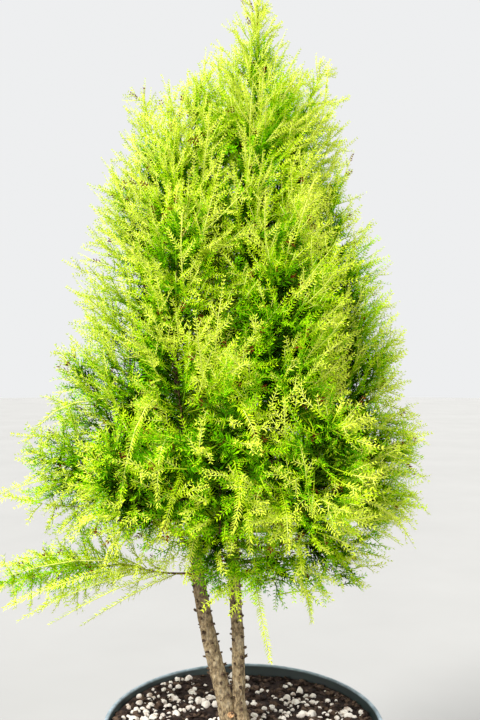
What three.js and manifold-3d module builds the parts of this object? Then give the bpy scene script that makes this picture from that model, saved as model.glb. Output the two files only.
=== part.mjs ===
// A potted dwarf cypress with two stems and a feathery, pear-shaped crown.
// Millimetres, +Z up. The origin is the middle of the pot's underside, and the plant is seen from -Y.
import * as THREE from "three";
import { mergeVertices } from "three/addons/utils/BufferGeometryUtils.js";
import Module from "manifold-3d";

const wasm = await Module();
wasm.setup();

// Driving dimensions
const POT_HEIGHT = 240;
const RIM_RADIUS = 140;
const FOOT_RADIUS = 110;
const WALL = 2.2;
const FREEBOARD = 14; // from the rim down to the potting mix
const CROWN_TOP = 972;
const GAP = 0.35; // left between pieces that touch

// Worked out from them
const GROUND = POT_HEIGHT - FREEBOARD;
const STEM_FOOT = GROUND + GAP;
const AROUND_POT = 32;

const COLOURS = {
  pot: { color: 0x1d2a27, roughness: 0.5, metalness: 0 },
  mix: { color: 0x2b201c, roughness: 0.95, metalness: 0 },
  bark: { color: 0x6f5f4c, roughness: 0.9, metalness: 0 },
  twig: { color: 0x8a6a43, roughness: 0.85, metalness: 0 },
  foliage: { color: 0x8fc31f, roughness: 0.8, metalness: 0 },
};

const group = new THREE.Group();
group.name = "potted_cypress";

// A closed three.js geometry as a solid.
function solidOf(geometry) {
  const bare = geometry.clone();
  bare.deleteAttribute("normal");
  bare.deleteAttribute("uv");
  const merged = mergeVertices(bare, 1e-3);
  return new wasm.Manifold(
    new wasm.Mesh({
      numProp: 3,
      vertProperties: new Float32Array(merged.attributes.position.array),
      triVerts: new Uint32Array(merged.index.array),
    }),
  );
}

// The biggest piece of a solid as a three.js geometry. Slivers cut loose by a neighbour are dropped.
function geometryOf(solid) {
  const pieces = solid.decompose().sort((a, b) => b.volume() - a.volume());
  const mesh = pieces[0].getMesh();
  const geometry = new THREE.BufferGeometry();
  geometry.setAttribute("position", new THREE.BufferAttribute(mesh.vertProperties, 3));
  geometry.setIndex(new THREE.BufferAttribute(mesh.triVerts, 1));
  geometry.computeVertexNormals();
  return geometry;
}

function addNode(name, solid, colour) {
  const mesh = new THREE.Mesh(geometryOf(solid), new THREE.MeshStandardMaterial(COLOURS[colour]));
  mesh.name = name;
  group.add(mesh);
}

const vector = (p) => new THREE.Vector3(...p);

const curveThrough = (points) => new THREE.CatmullRomCurve3(points.map(vector), false, "centripetal");

const FORWARD = new THREE.Vector3(0, 1, 0.01); // the direction that sections are turned to

// Moves each vertex of a shape whose axis is Y, from y = 0 to 1, onto a curve.
// radiusAt(share along, angle round) is the distance from the curve.
function bendAlong(geometry, curve, radiusAt, aside) {
  const place = geometry.attributes.position;
  const at = new THREE.Vector3();
  for (let i = 0; i < place.count; i++) {
    const along = Math.min(1, Math.max(0, place.getY(i)));
    const angle = Math.atan2(place.getZ(i), place.getX(i));
    const share = Math.hypot(place.getX(i), place.getZ(i));
    const tangent = curve.getTangentAt(along);
    const right = new THREE.Vector3().crossVectors(tangent, aside).normalize();
    const ahead = new THREE.Vector3().crossVectors(right, tangent);
    const radius = share * radiusAt(along, angle);
    at.copy(curve.getPointAt(along));
    at.addScaledVector(right, radius * Math.cos(angle));
    at.addScaledVector(ahead, radius * Math.sin(angle));
    place.setXYZ(i, at.x, at.y, at.z);
  }
  return geometry;
}

// A limb: a cylinder bent along a curve, tapering as radiusAt says.
function limb(curve, radiusAt, sides, steps, grow = 0) {
  const tube = new THREE.CylinderGeometry(1, 1, 1, sides, steps);
  tube.translate(0, 0.5, 0);
  return solidOf(bendAlong(tube, curve, (s, a) => radiusAt(s, a) + grow, FORWARD));
}

const RIM_BAND = 13; // depth of the turned-over lip
const RIM_LIP = 4.5; // how far the lip stands out from the wall
const RIM_SLOPE = 3; // height of the slope under the lip
const RIM_ROUND = 1.5;
const FOOT_ROUND = 4;
const FLOOR = 3;
const DRAIN_HOLES = 8;
const DRAIN_RADIUS = 7;
const DRAIN_HEIGHT = 13; // of a hole's middle above the underside
const DRAIN_DEPTH = 30;
const DRAIN_SIDES = 10;

const wallTop = RIM_RADIUS - RIM_LIP;
const wallRadius = (z) => FOOT_RADIUS + ((wallTop - FOOT_RADIUS) * z) / POT_HEIGHT;

// A profile of [radius, height] points turned round the upright axis.
function turned(profile) {
  const shape = new THREE.LatheGeometry(profile.map((p) => new THREE.Vector2(...p)), AROUND_POT);
  return shape.rotateX(Math.PI / 2);
}

function pot() {
  const lipFoot = POT_HEIGHT - RIM_BAND;
  const profile = [
    [0, 0],
    [FOOT_RADIUS - FOOT_ROUND, 0],
    [FOOT_RADIUS, FOOT_ROUND],
    [wallRadius(lipFoot - RIM_SLOPE), lipFoot - RIM_SLOPE],
    [RIM_RADIUS - RIM_ROUND / 2, lipFoot],
    [RIM_RADIUS, POT_HEIGHT - RIM_ROUND],
    [RIM_RADIUS - RIM_ROUND, POT_HEIGHT],
    [wallTop - WALL, POT_HEIGHT],
    [wallRadius(FLOOR) - WALL, FLOOR],
    [0, FLOOR],
  ];
  let body = solidOf(turned(profile));
  for (let i = 0; i < DRAIN_HOLES; i++) {
    const hole = new THREE.CylinderGeometry(DRAIN_RADIUS, DRAIN_RADIUS, DRAIN_DEPTH, DRAIN_SIDES);
    hole.rotateZ(Math.PI / 2);
    hole.translate(FOOT_RADIUS, 0, DRAIN_HEIGHT);
    hole.rotateZ(((i + 0.5) / DRAIN_HOLES) * 2 * Math.PI);
    body = body.subtract(solidOf(hole));
  }
  return body;
}

const MIX_UNEVEN = 1.4;
const MIX_LEVEL = 40; // radius round the stems in which the mix is level
const MIX_RINGS = [0.84, 0.62, 0.3]; // shares of the radius at which its top has a ring of points

// Height of the potting mix, level round the stems and a little uneven further out.
function mixHeight(radius, angle) {
  const outside = Math.min(1, Math.max(0, (radius - MIX_LEVEL) / MIX_LEVEL));
  const waves = Math.sin(3 * angle + 0.7) + 0.6 * Math.cos(5 * angle - radius / 30);
  return GROUND + outside * MIX_UNEVEN * waves;
}

function mix() {
  const inside = (z) => wallRadius(z) - WALL - GAP;
  const floor = FLOOR + GAP;
  const rings = MIX_RINGS.map((share) => [share * inside(GROUND), GROUND]);
  const plug = turned([[0, floor], [inside(floor), floor], [inside(GROUND), GROUND], ...rings, [0, GROUND]]);
  const place = plug.attributes.position;
  for (let i = 0; i < place.count; i++) {
    const radius = Math.hypot(place.getX(i), place.getY(i));
    const angle = Math.atan2(place.getY(i), place.getX(i));
    if (place.getZ(i) > floor && radius < inside(GROUND) - 1) place.setZ(i, mixHeight(radius, angle));
  }
  return solidOf(plug);
}

// Each stem is named for its side. The first point is under the ground line, where a level cut ends the stem.
const STEMS = {
  left: {
    points: [
      [-12, 0, GROUND - 12],
      [-17, 0, GROUND + 24],
      [-34, -2, 318],
      [-45, -5, 380],
      [-51, -9, 440],
      [-60, -10, 515],
      [-68, -8, 600],
      [-68, -6, 690],
      [-58, -6, 790],
      [-46, -10, 872],
    ],
    foot: 8.8,
    tip: 1.2,
  },
  right: {
    points: [
      [1, 0, GROUND - 12],
      [-3, 0, GROUND + 24],
      [-5, 2, 315],
      [-9, 6, 366],
      [-10, 12, 430],
      [0, 16, 520],
      [10, 16, 640],
      [15, 12, 780],
      [15, 4, 890],
      [14, 0, CROWN_TOP - 12],
    ],
    foot: 7.2,
    tip: 1,
  },
};
const TAPER = 0.8; // under 1, a stem keeps its thickness longer
const THIN_FROM = 0.2; // shares of a stem's length between which it thins, where the boughs leave it
const THIN_TO = 0.42;
const THINNED = 0.5; // share of its thickness that is left above them
const FLARE = 2.5; // extra radius where a stem meets the ground
const FLARE_HEIGHT = 0.02; // as a share of the stem's length
const RIBS = 3; // the flare's swellings, where roots leave
const STEM_SIDES = 9;
const STEM_STEPS = 18;
const GROUND_BLOCK = 400; // wider than the plant's foot, and deeper than the stems' hidden ends

const block = new THREE.BoxGeometry(GROUND_BLOCK, GROUND_BLOCK, GROUND_BLOCK);
block.translate(0, 0, STEM_FOOT - GROUND_BLOCK / 2);
const ground = solidOf(block);

const stemCurve = (side) => curveThrough(STEMS[side].points);

function stem(side, grow) {
  const { foot, tip } = STEMS[side];
  const radiusAt = (s, a) => {
    const flare = FLARE * Math.exp(-s / FLARE_HEIGHT) * (1 + 0.25 * Math.cos(RIBS * a));
    const left = 1 - (1 - THINNED) * THREE.MathUtils.smoothstep(s, THIN_FROM, THIN_TO);
    return tip + (foot - tip) * left * Math.pow(1 - s, TAPER) + flare;
  };
  return limb(stemCurve(side), radiusAt, STEM_SIDES, STEM_STEPS, grow).subtract(ground);
}

// The point of a stem at a height.
function stemAt(side, height) {
  const curve = stemCurve(side);
  let [low, high] = [0, 1];
  for (let i = 0; i < 30; i++) {
    const middle = (low + high) / 2;
    if (curve.getPointAt(middle).z < height) low = middle;
    else high = middle;
  }
  return curve.getPointAt(low);
}

// Each mass is a plume from a root to a tip. across is its greatest half width seen from the front, deep the
// share of that in the other direction, full the place of the greatest width along it, bow how far its middle
// is lifted, and a higher pointed gives longer points. stem and height say where its bough leaves a stem.
// A mass with no height grows round the stem itself.
const MASSES = {
  leader: { root: [12, 8, 790], tip: [15, 0, CROWN_TOP], across: 46, full: 0.3, pointed: 2.2 },
  left_leader: { root: [-67, -8, 690], tip: [-40, -12, 886], across: 43, deep: 0.9 },
  right_shoulder: {
    root: [48, 34, 680], tip: [93, 48, 922], across: 41, bow: -6, stem: "right", height: 600,
  },
  left_shoulder: {
    root: [-98, 34, 670], tip: [-109, 44, 890], across: 41, bow: -6, stem: "left", height: 600,
  },
  upper_left: {
    root: [-68, -46, 640], tip: [-66, -50, 858], across: 50, deep: 0.85, stem: "left", height: 590,
  },
  upper_right: {
    root: [16, -52, 640], tip: [52, -46, 876], across: 52, deep: 0.85, stem: "right", height: 565,
  },
  upper_back: {
    root: [-4, 72, 640], tip: [-8, 66, 862], across: 54, deep: 0.85, stem: "right", height: 570,
  },
  left_upper_side: {
    root: [-114, -4, 500], tip: [-132, -12, 790], across: 47, deep: 1.25, bow: -4, stem: "left", height: 490,
  },
  right_upper_side: {
    root: [96, 0, 505], tip: [97, 6, 800], across: 46, deep: 1.4, stem: "right", height: 490,
  },
  front_upper_left: {
    root: [-56, -74, 530], tip: [-44, -110, 752], across: 54, deep: 0.85, stem: "left", height: 480,
  },
  front_upper_right: {
    root: [34, -74, 520], tip: [62, -108, 752], across: 58, deep: 0.85, stem: "right", height: 475,
  },
  back_upper_left: {
    root: [-58, 86, 530], tip: [-70, 112, 752], across: 54, deep: 0.85, stem: "left", height: 505,
  },
  back_upper_right: {
    root: [60, 88, 530], tip: [70, 114, 756], across: 54, deep: 0.85, stem: "right", height: 530,
  },
  left_middle: {
    root: [-108, 22, 440], tip: [-188, 22, 618], across: 48, deep: 1.2, bow: -4, stem: "left", height: 445,
  },
  right_middle: {
    root: [92, 16, 460], tip: [156, 16, 634], across: 46, deep: 1.2, bow: -4, stem: "right", height: 455,
  },
  left_side: {
    root: [-104, -14, 466], tip: [-214, -20, 514], across: 46, deep: 1.15, bow: 8, stem: "left", height: 462,
  },
  right_side: {
    root: [90, -6, 430], tip: [174, -4, 524], across: 44, deep: 1.3, stem: "right", height: 425,
  },
  front_left: {
    root: [-86, -70, 446], tip: [-118, -148, 548], across: 46, bow: -4, stem: "left", height: 425,
  },
  front_right: {
    root: [48, -84, 430], tip: [78, -164, 566], across: 56, bow: -6, stem: "right", height: 410,
  },
  front_middle: {
    root: [-22, -76, 432], tip: [-14, -154, 606], across: 46, bow: -6, stem: "right", height: 440,
  },
  back_left: {
    root: [-82, 84, 420], tip: [-116, 148, 584], across: 56, bow: -6, stem: "left", height: 420,
  },
  back_right: {
    root: [74, 88, 410], tip: [106, 148, 584], across: 56, bow: -6, stem: "right", height: 435,
  },
  back_middle: {
    root: [-6, 84, 394], tip: [-6, 172, 576], across: 54, bow: -8, stem: "right", height: 395,
  },
  left_skirt: {
    root: [-80, -30, 468], tip: [-246, -16, 470], across: 29, full: 0.32, pointed: 3,
    stem: "left", height: 408,
  },
  right_skirt: {
    root: [52, -26, 434], tip: [100, -34, 364], across: 38, deep: 1.2, bow: 8, stem: "right", height: 392,
  },
  middle_skirt: {
    root: [-34, -46, 452], tip: [-20, -74, 386], across: 30, deep: 0.8, stem: "left", height: 395,
  },
  front_skirt: {
    root: [22, -50, 430], tip: [27, -78, 326], across: 27, deep: 0.8, full: 0.34, bow: 4,
    stem: "right", height: 378,
  },
  low_left_spray: {
    root: [-104, -8, 396], tip: [-256, -14, 376], across: 34, deep: 0.85, full: 0.55, bow: 9,
    stem: "left", height: 386,
  },
};
const UNEVEN = 0.13; // size of the lumps as a share of the radius
const LUMP_TURN = 2.4; // radians between one mass's lumps and the next one's
const AROUND_MASS = 8;
const ALONG_MASS = 8;
const POLE = 1 - 1e-6; // height of a ball beyond which a vertex is one of its two poles

function massCurve({ root, tip, bow = 0 }) {
  const middle = vector(root).lerp(vector(tip), 0.5);
  middle.z += bow;
  return new THREE.QuadraticBezierCurve3(vector(root), middle, vector(tip));
}

// A plume: a ball drawn out along its curve, with lumps that differ from mass to mass.
function mass(name, grow = 0) {
  const { across, deep = 1, full = 0.44, pointed = 1.7 } = MASSES[name];
  const turn = Object.keys(MASSES).indexOf(name) * LUMP_TURN;
  const ball = new THREE.SphereGeometry(1, AROUND_MASS, ALONG_MASS);
  const place = ball.attributes.position;
  for (let i = 0; i < place.count; i++) {
    const height = place.getY(i);
    const share = Math.abs(height) > POLE ? 0 : 1 / Math.hypot(place.getX(i), place.getZ(i));
    place.setXYZ(i, place.getX(i) * share, (height + 1) / 2, place.getZ(i) * share);
  }
  const radiusAt = (s, a) => {
    const shape = Math.pow(s / full, full * pointed) * Math.pow((1 - s) / (1 - full), (1 - full) * pointed);
    const around = Math.sin(3 * a + turn + 5 * s) + 0.7 * Math.sin(5 * a - turn - 8 * s);
    const lumps = around + 0.6 * Math.cos(11 * s + turn);
    const oval = Math.hypot(Math.cos(a), deep * Math.sin(a));
    return across * shape * oval * (1 + UNEVEN * lumps) + grow;
  };
  return solidOf(bendAlong(ball, massCurve(MASSES[name]), radiusAt, FORWARD));
}

const BOUGH_FOOT = 2.8;
const BOUGH_TIP = 1.5;
const BOUGH_SAG = 0.08; // as a share of its length
const INSIDE_MASS = 14; // how far a bough reaches into its mass
const BOUGH_SIDES = 5;
const BOUGH_STEPS = 2;

function boughCurve(name) {
  const spec = MASSES[name];
  const start = stemAt(spec.stem, spec.height);
  const along = massCurve(spec);
  const end = along.getPointAt(INSIDE_MASS / along.getLength());
  const middle = start.clone().lerp(end, 0.5);
  middle.z -= BOUGH_SAG * start.distanceTo(end);
  return new THREE.QuadraticBezierCurve3(start, middle, end);
}

function bough(name, grow = 0) {
  const radiusAt = (s) => BOUGH_FOOT + (BOUGH_TIP - BOUGH_FOOT) * s;
  return limb(boughCurve(name), radiusAt, BOUGH_SIDES, BOUGH_STEPS, grow);
}

addNode("pot", pot(), "pot");
addNode("potting_mix", mix(), "mix");

const leftStem = stem("left", 0);
addNode("left_stem", leftStem, "bark");
const rightStem = stem("right", 0).subtract(stem("left", GAP));
addNode("right_stem", rightStem, "bark");
const stemRoom = stem("left", GAP).add(stem("right", GAP));

let limbRoom = stemRoom;
for (const name of Object.keys(MASSES)) {
  if (!MASSES[name].height) continue;
  addNode(name + "_bough", bough(name).subtract(limbRoom), "twig");
  limbRoom = limbRoom.add(bough(name, GAP));
}

let taken = limbRoom;
for (const name of Object.keys(MASSES)) {
  addNode(name + "_mass", mass(name).subtract(taken), "foliage");
  taken = taken.add(mass(name, GAP));
}

export default group;
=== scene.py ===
"""A potted dwarf cypress with two stems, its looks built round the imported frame.

Metres, +Z up, the origin under the middle of the pot. The photograph's camera stands at -Y and looks
along +Y.
"""

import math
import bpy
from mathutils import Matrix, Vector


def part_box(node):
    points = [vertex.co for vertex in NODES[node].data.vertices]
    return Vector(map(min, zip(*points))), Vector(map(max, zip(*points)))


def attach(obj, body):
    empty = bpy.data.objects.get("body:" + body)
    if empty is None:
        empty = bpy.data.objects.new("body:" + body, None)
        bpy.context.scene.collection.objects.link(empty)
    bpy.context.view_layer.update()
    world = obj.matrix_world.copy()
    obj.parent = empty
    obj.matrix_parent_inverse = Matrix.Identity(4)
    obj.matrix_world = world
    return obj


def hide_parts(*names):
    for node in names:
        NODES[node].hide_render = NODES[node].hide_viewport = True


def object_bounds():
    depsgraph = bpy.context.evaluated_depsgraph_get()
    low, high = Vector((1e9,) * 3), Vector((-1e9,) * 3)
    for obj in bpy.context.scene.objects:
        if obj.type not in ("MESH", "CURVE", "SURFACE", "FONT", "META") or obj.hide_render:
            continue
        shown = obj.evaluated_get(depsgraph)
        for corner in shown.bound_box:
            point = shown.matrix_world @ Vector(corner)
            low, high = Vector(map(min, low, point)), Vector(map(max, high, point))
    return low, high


bl_info = {
    "name": "Potted dwarf cypress",
    "version": (1, 0, 0),
    "blender": (4, 5, 0),
    "location": "3D View > Sidebar > Cypress",
    "description": "Builds the pot, potting mix, bark, boughs and needle sprays of a potted dwarf cypress",
    "category": "Add Mesh",
}

import bmesh
import bpy
import numpy as np
from bpy.props import FloatProperty, FloatVectorProperty, IntProperty, PointerProperty
from mathutils import Matrix, Vector
from mathutils.bvhtree import BVHTree

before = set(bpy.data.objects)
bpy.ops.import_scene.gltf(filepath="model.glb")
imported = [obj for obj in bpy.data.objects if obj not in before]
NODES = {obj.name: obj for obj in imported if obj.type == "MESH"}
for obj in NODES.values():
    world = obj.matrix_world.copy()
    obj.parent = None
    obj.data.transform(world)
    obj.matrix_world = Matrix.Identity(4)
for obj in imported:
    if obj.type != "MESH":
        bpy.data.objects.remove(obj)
CAD_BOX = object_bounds()
MM = 0.001

GOLDEN_ANGLE = math.pi * (3 - math.sqrt(5))
MASS_NODES = sorted(name for name in NODES if name.endswith("_mass"))
BOUGH_NODES = sorted(name for name in NODES if name.endswith("_bough"))
STEM_NODES = ("left_stem", "right_stem")
POT_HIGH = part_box("pot")[1]
MIX_LOW, MIX_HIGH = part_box("potting_mix")


# Colours and materials

# A Mix node's sockets and output, by number, where it mixes colours.
BLEND_SHARE, BLEND_FIRST, BLEND_SECOND, BLENDED = 0, 6, 7, 2
LIP_HIGHLIGHT = (POT_HIGH.z - 2.6 * MM, POT_HIGH.z - 0.8 * MM)  # heights where the painted highlight on top of the lip begins and is full
# How bark changes up a stem: heights where each change begins and is full, how far it goes, and the stops of
# its colours.
BARK_ZONES = (
    # Darker and redder inside the crown: partly the bark's own colour, partly painted shade.
    (0.31, 0.43, 0.85, ((0.36, "#28160C"), (0.6, "#69492F"))),
    (0.84, 0.90, 1.0, ((0.36, "#5E7A12"), (0.6, "#9CB42A"))),
)


def linear(code):
    """A colour from its sRGB hex code, as linear numbers with alpha."""
    parts = [int(code[i : i + 2], 16) / 255 for i in (1, 3, 5)]
    return (*[p / 12.92 if p <= 0.04045 else ((p + 0.055) / 1.055) ** 2.4 for p in parts], 1.0)


def set_stops(elements, stops):
    """Gives a colour ramp its stops, each a place and a colour, which is a hex code or linear numbers."""
    while len(elements) < len(stops):
        elements.new(0.5)
    for element, (place, colour) in zip(elements, stops):
        element.position = place
        element.color = linear(colour) if isinstance(colour, str) else colour


def join(tree, node, links):
    """Joins a node's sockets, by name or number, to outputs. A node stands for its own first output."""
    for key, source in links.items():
        output = source.outputs[0] if isinstance(source, bpy.types.Node) else source
        tree.links.new(output, node.inputs[key])


def add_node(tree, kind, links=None, **settings):
    """Adds a node, sets its sockets and properties by name, and joins its sockets to other nodes.

    An underscore in a setting's name stands for a space where the node has such a socket.
    """
    node = tree.nodes.new("ShaderNode" + kind)
    for key, value in settings.items():
        socket = key.replace("_", " ")
        if key == "stops":
            set_stops(node.color_ramp.elements, value)
        elif socket in node.inputs:
            node.inputs[socket].default_value = value
        else:
            setattr(node, key, value)
    join(tree, node, links or {})
    return node


def new_material(name, **settings):
    """A Principled material, its node tree and its shader with some sockets set."""
    material = bpy.data.materials.new(name)
    material.use_nodes = True
    tree = material.node_tree
    shader = tree.nodes["Principled BSDF"]
    for key, value in settings.items():
        shader.inputs[key.replace("_", " ")].default_value = value
    return material, tree, shader


def polyethylene(colour):
    """Moulded high-density polyethylene: waxy and dark with a soft sheen.

    A film of dust dulls it in patches, and the top of the lip carries a painted highlight, a pale blue-white
    band.
    """
    material, tree, shader = new_material("moulded_polyethylene", IOR=1.54)
    place = add_node(tree, "TexCoord").outputs["Object"]
    dust = add_node(tree, "TexNoise", {"Vector": place}, Scale=1 / (34 * MM), Detail=6, Roughness=0.55)
    stops = ((0.35, colour), (0.62, "#22322F"), (0.8, "#3A4642"))
    wall = add_node(tree, "ValToRGB", {"Fac": dust}, stops=stops)
    # Painted highlight: a pale blue-white band on top of the lip that stands in for the sky's reflection.
    highlight_noise = add_node(tree, "TexNoise", {"Vector": place}, Scale=1 / (12 * MM), Detail=4, Roughness=0.55)
    highlight_colour = add_node(tree, "ValToRGB", {"Fac": highlight_noise}, stops=((0.35, "#6E8088"), (0.65, "#A9BBC4")))
    height = add_node(tree, "SeparateXYZ", {"Vector": place}).outputs["Z"]
    low, high = LIP_HIGHLIGHT
    lip_highlight = add_node(tree, "MapRange", {"Value": height}, From_Min=low, From_Max=high, To_Min=0.0, To_Max=0.85)
    layers = {BLEND_SHARE: lip_highlight, BLEND_FIRST: wall, BLEND_SECOND: highlight_colour}
    shown = add_node(tree, "Mix", layers, data_type="RGBA").outputs[BLENDED]
    dull = add_node(tree, "MapRange", {"Value": dust}, From_Min=0.35, From_Max=0.75, To_Min=0.3, To_Max=0.6)
    grain = add_node(tree, "TexNoise", {"Vector": place}, Scale=1 / (3 * MM), Detail=4, Roughness=0.55)
    bump = add_node(tree, "Bump", {"Height": grain}, Distance=0.05 * MM, Strength=1.0)
    join(tree, shader, {"Base Color": shown, "Roughness": dull, "Normal": bump})
    return material


def cypress_bark(colour):
    """Young cypress bark: thin grey-brown strips that run up the stem, with darker clefts and pale scurf.

    Inside the crown, where no weather reaches it, it is redder and darker, partly by painted shade, and this
    year's growth at the top is green.
    """
    material, tree, shader = new_material("cypress_bark", Roughness=0.88)
    place = add_node(tree, "TexCoord").outputs["Object"]
    drawn_out = add_node(tree, "Mapping", {"Vector": place}, Scale=(1, 1, 0.55))
    strips = add_node(tree, "TexNoise", {"Vector": drawn_out}, Scale=1 / (2.2 * MM), Detail=6, Roughness=0.65)
    stops = ((0.36, "#33281C"), (0.46, "#6A5941"), (0.56, colour), (0.7, "#CFC2A6"))
    wood = add_node(tree, "ValToRGB", {"Fac": strips}, stops=stops)
    longish = add_node(tree, "Mapping", {"Vector": place}, Scale=(1, 1, 0.8))
    blotches = add_node(tree, "TexNoise", {"Vector": longish}, Scale=1 / (7 * MM), Detail=6, Roughness=0.65)
    stops = ((0.38, "#5A4934"), (0.5, "#A08B68"), (0.62, "#D2C1A0"))
    scurf = add_node(tree, "ValToRGB", {"Fac": blotches}, stops=stops)
    shown = add_node(tree, "Mix", {BLEND_FIRST: wood, BLEND_SECOND: scurf}, data_type="RGBA", Factor=0.42)
    height = add_node(tree, "SeparateXYZ", {"Vector": place}).outputs["Z"]
    for low, high, most, stops in BARK_ZONES:
        share = add_node(tree, "MapRange", {"Value": height}, From_Min=low, From_Max=high, To_Max=most)
        other = add_node(tree, "ValToRGB", {"Fac": strips}, stops=stops)
        layers = {BLEND_SHARE: share, BLEND_FIRST: shown.outputs[BLENDED], BLEND_SECOND: other}
        shown = add_node(tree, "Mix", layers, data_type="RGBA")
    bump = add_node(tree, "Bump", {"Height": strips}, Distance=0.8 * MM, Strength=1.0)
    join(tree, shader, {"Base Color": shown.outputs[BLENDED], "Normal": bump})
    return material


def grained(name, stops, pattern, relief=None, depth_mm=0.0, stretch=1.0, **settings):
    """A material with one noise pattern for its colours and, where relief is given, one for its relief.

    Each is a size in millimetres, a detail and a roughness, and stretch under 1 draws both out along Z.
    """
    material, tree, shader = new_material(name, **settings)
    place = add_node(tree, "TexCoord").outputs["Object"]
    place = add_node(tree, "Mapping", {"Vector": place}, Scale=(1, 1, stretch))
    noises = []
    for size_mm, detail, roughness in filter(None, (pattern, relief)):
        noise = {"Scale": 1 / (size_mm * MM), "Detail": detail, "Roughness": roughness}
        noises.append(add_node(tree, "TexNoise", {"Vector": place}, **noise))
    join(tree, shader, {"Base Color": add_node(tree, "ValToRGB", {"Fac": noises[0]}, stops=stops)})
    if relief:
        bump = add_node(tree, "Bump", {"Height": noises[1]}, Distance=depth_mm * MM, Strength=1.0)
        join(tree, shader, {"Normal": bump})
    return material


def composted_bark(damp, dry):
    """Composted pine bark and peat: matt, near black where damp, browner where it has dried."""
    stops = ((0.3, damp), (0.48, "#2A1F1A"), (0.62, dry), (0.78, "#75604F"))
    matt = {"Roughness": 0.92, "Specular_IOR_Level": 0.15}
    return grained("composted_bark", stops, (9, 8, 0.65), (1.6, 6, 0.55), 0.5, **matt)


def perlite(colour):
    """Expanded perlite: a chalky white foam of glass, pitted, and stained a little by the bark round it."""
    stops = ((0.3, "#A8927E"), (0.45, "#D9CEC2"), (0.6, colour))
    return grained("expanded_perlite", stops, (7, 5, 0.55), (0.9, 3, 0.55), 0.25, Roughness=0.85, IOR=1.5)


def dead_wood(colour):
    """Dried pruned stubs: weathered, nearly black, rough end grain."""
    grain = (1.5, 4, 0.55)
    return grained("weathered_stub", ((0.35, colour), (0.6, "#6C5640")), grain, grain, 0.3, Roughness=0.9)


def fresh_cut(colour):
    """A healing pruning cut: resin-tinted sapwood with a darker ring of callus."""
    grain = (1.2, 3, 0.55)
    return grained("pruned_sapwood", ((0.35, "#B06A30"), (0.55, colour)), grain, grain, 0.15, Roughness=0.6)


def brown_twig(colour):
    """Second-year cypress twig: smooth, reddish brown, slightly waxy."""
    grain = (2.5, 4, 0.55)
    stops = ((0.3, "#5A3B22"), (0.7, colour))
    return grained("second_year_twig", stops, grain, grain, 0.15, 0.4, Roughness=0.6)


def living_green(name, colour):
    """Living foliage in one even tint, dealt out by spray: its bloom of wax scatters light, with no gloss."""
    material, _, shader = new_material(name, Roughness=0.6, IOR=1.4, Specular_IOR_Level=0.0)
    shader.inputs["Base Color"].default_value = linear(colour)
    return material


# Making meshes


def deselect():
    """Leaves edit mode and deselects everything."""
    if bpy.context.object and bpy.context.object.mode != "OBJECT":
        bpy.ops.object.mode_set(mode="OBJECT")
    bpy.ops.object.select_all(action="DESELECT")


def make_active(piece):
    """Selects one piece alone and makes it the active one."""
    deselect()
    piece.select_set(True)
    bpy.context.view_layer.objects.active = piece


def add_object(name, data):
    """A new object in the scene with a mesh, a light, a camera or nothing as its data."""
    piece = bpy.data.objects.new(name, data)
    bpy.context.scene.collection.objects.link(piece)
    return piece


def mesh_object(name, points, faces, slots=None, materials=()):
    """A mesh from an array of points and one of triangles or quads, with each face's material number."""
    mesh = bpy.data.meshes.new(name)
    corners = faces.shape[1]
    mesh.vertices.add(len(points))
    mesh.vertices.foreach_set("co", np.ascontiguousarray(points, np.float32).ravel())
    mesh.loops.add(faces.size)
    mesh.loops.foreach_set("vertex_index", np.ascontiguousarray(faces, np.int32).ravel())
    mesh.polygons.add(len(faces))
    mesh.polygons.foreach_set("loop_start", np.arange(0, faces.size, corners, dtype=np.int32))
    for material in materials:
        mesh.materials.append(material)
    if slots is not None:
        mesh.polygons.foreach_set("material_index", np.ascontiguousarray(slots, np.int32))
    mesh.update(calc_edges=True)
    return add_object(name, mesh)


def finish_piece(piece, slot, *nodes):
    """Applies its transforms, puts a piece on the plant's one body and hides the nodes it stands for."""
    make_active(piece)
    bpy.ops.object.transform_apply(location=True, rotation=True, scale=True)
    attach(piece, "root")
    if nodes:
        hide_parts(*nodes)


def apply_modifiers(piece):
    """Applies a piece's modifiers in order."""
    make_active(piece)
    for modifier in list(piece.modifiers):
        bpy.ops.object.modifier_apply(modifier=modifier.name)


def displace(piece, kind, size_mm, strength_mm, group="", stretch=1.0, level=0.5, **settings):
    """Moves a piece's surface in and out by a solid pattern, drawn out along Z by stretch."""
    texture = bpy.data.textures.new(piece.name + "_" + kind.lower(), kind)
    for key, value in settings.items():
        setattr(texture, key, value)
    texture.noise_scale = size_mm * MM
    guide = add_object(piece.name + "_guide", None)
    guide.scale = (1, 1, stretch)
    modifier = piece.modifiers.new("relief", "DISPLACE")
    modifier.texture = texture
    modifier.texture_coords = "OBJECT"
    modifier.texture_coords_object = guide
    modifier.strength = strength_mm * MM
    modifier.mid_level = level
    modifier.vertex_group = group
    bpy.context.view_layer.update()
    apply_modifiers(piece)
    bpy.data.objects.remove(guide)
    bpy.data.textures.remove(texture)


def join_pieces(name, pieces):
    """Makes one named piece of several."""
    deselect()
    for piece in pieces:
        piece.select_set(True)
    bpy.context.view_layer.objects.active = pieces[0]
    bpy.ops.object.join()
    joined = bpy.context.view_layer.objects.active
    joined.name = joined.data.name = name
    return joined


def mesh_points(mesh):
    """A mesh's points as an array."""
    points = np.zeros(len(mesh.vertices) * 3)
    mesh.vertices.foreach_get("co", points)
    return points.reshape(-1, 3)


def move_points(mesh, points):
    """Puts a mesh's points at the places in an array."""
    mesh.vertices.foreach_set("co", points.astype(np.float32).ravel())


def node_triangles(name):
    """The triangles of a CAD node, as an array of point numbers."""
    mesh = NODES[name].data
    mesh.calc_loop_triangles()
    corners = np.zeros(len(mesh.loop_triangles) * 3, np.int32)
    mesh.loop_triangles.foreach_get("vertices", corners)
    return corners.reshape(-1, 3)


def unit(v):
    """Vectors made one long."""
    return v / np.maximum(np.linalg.norm(v, axis=-1, keepdims=True), 1e-12)


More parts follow.
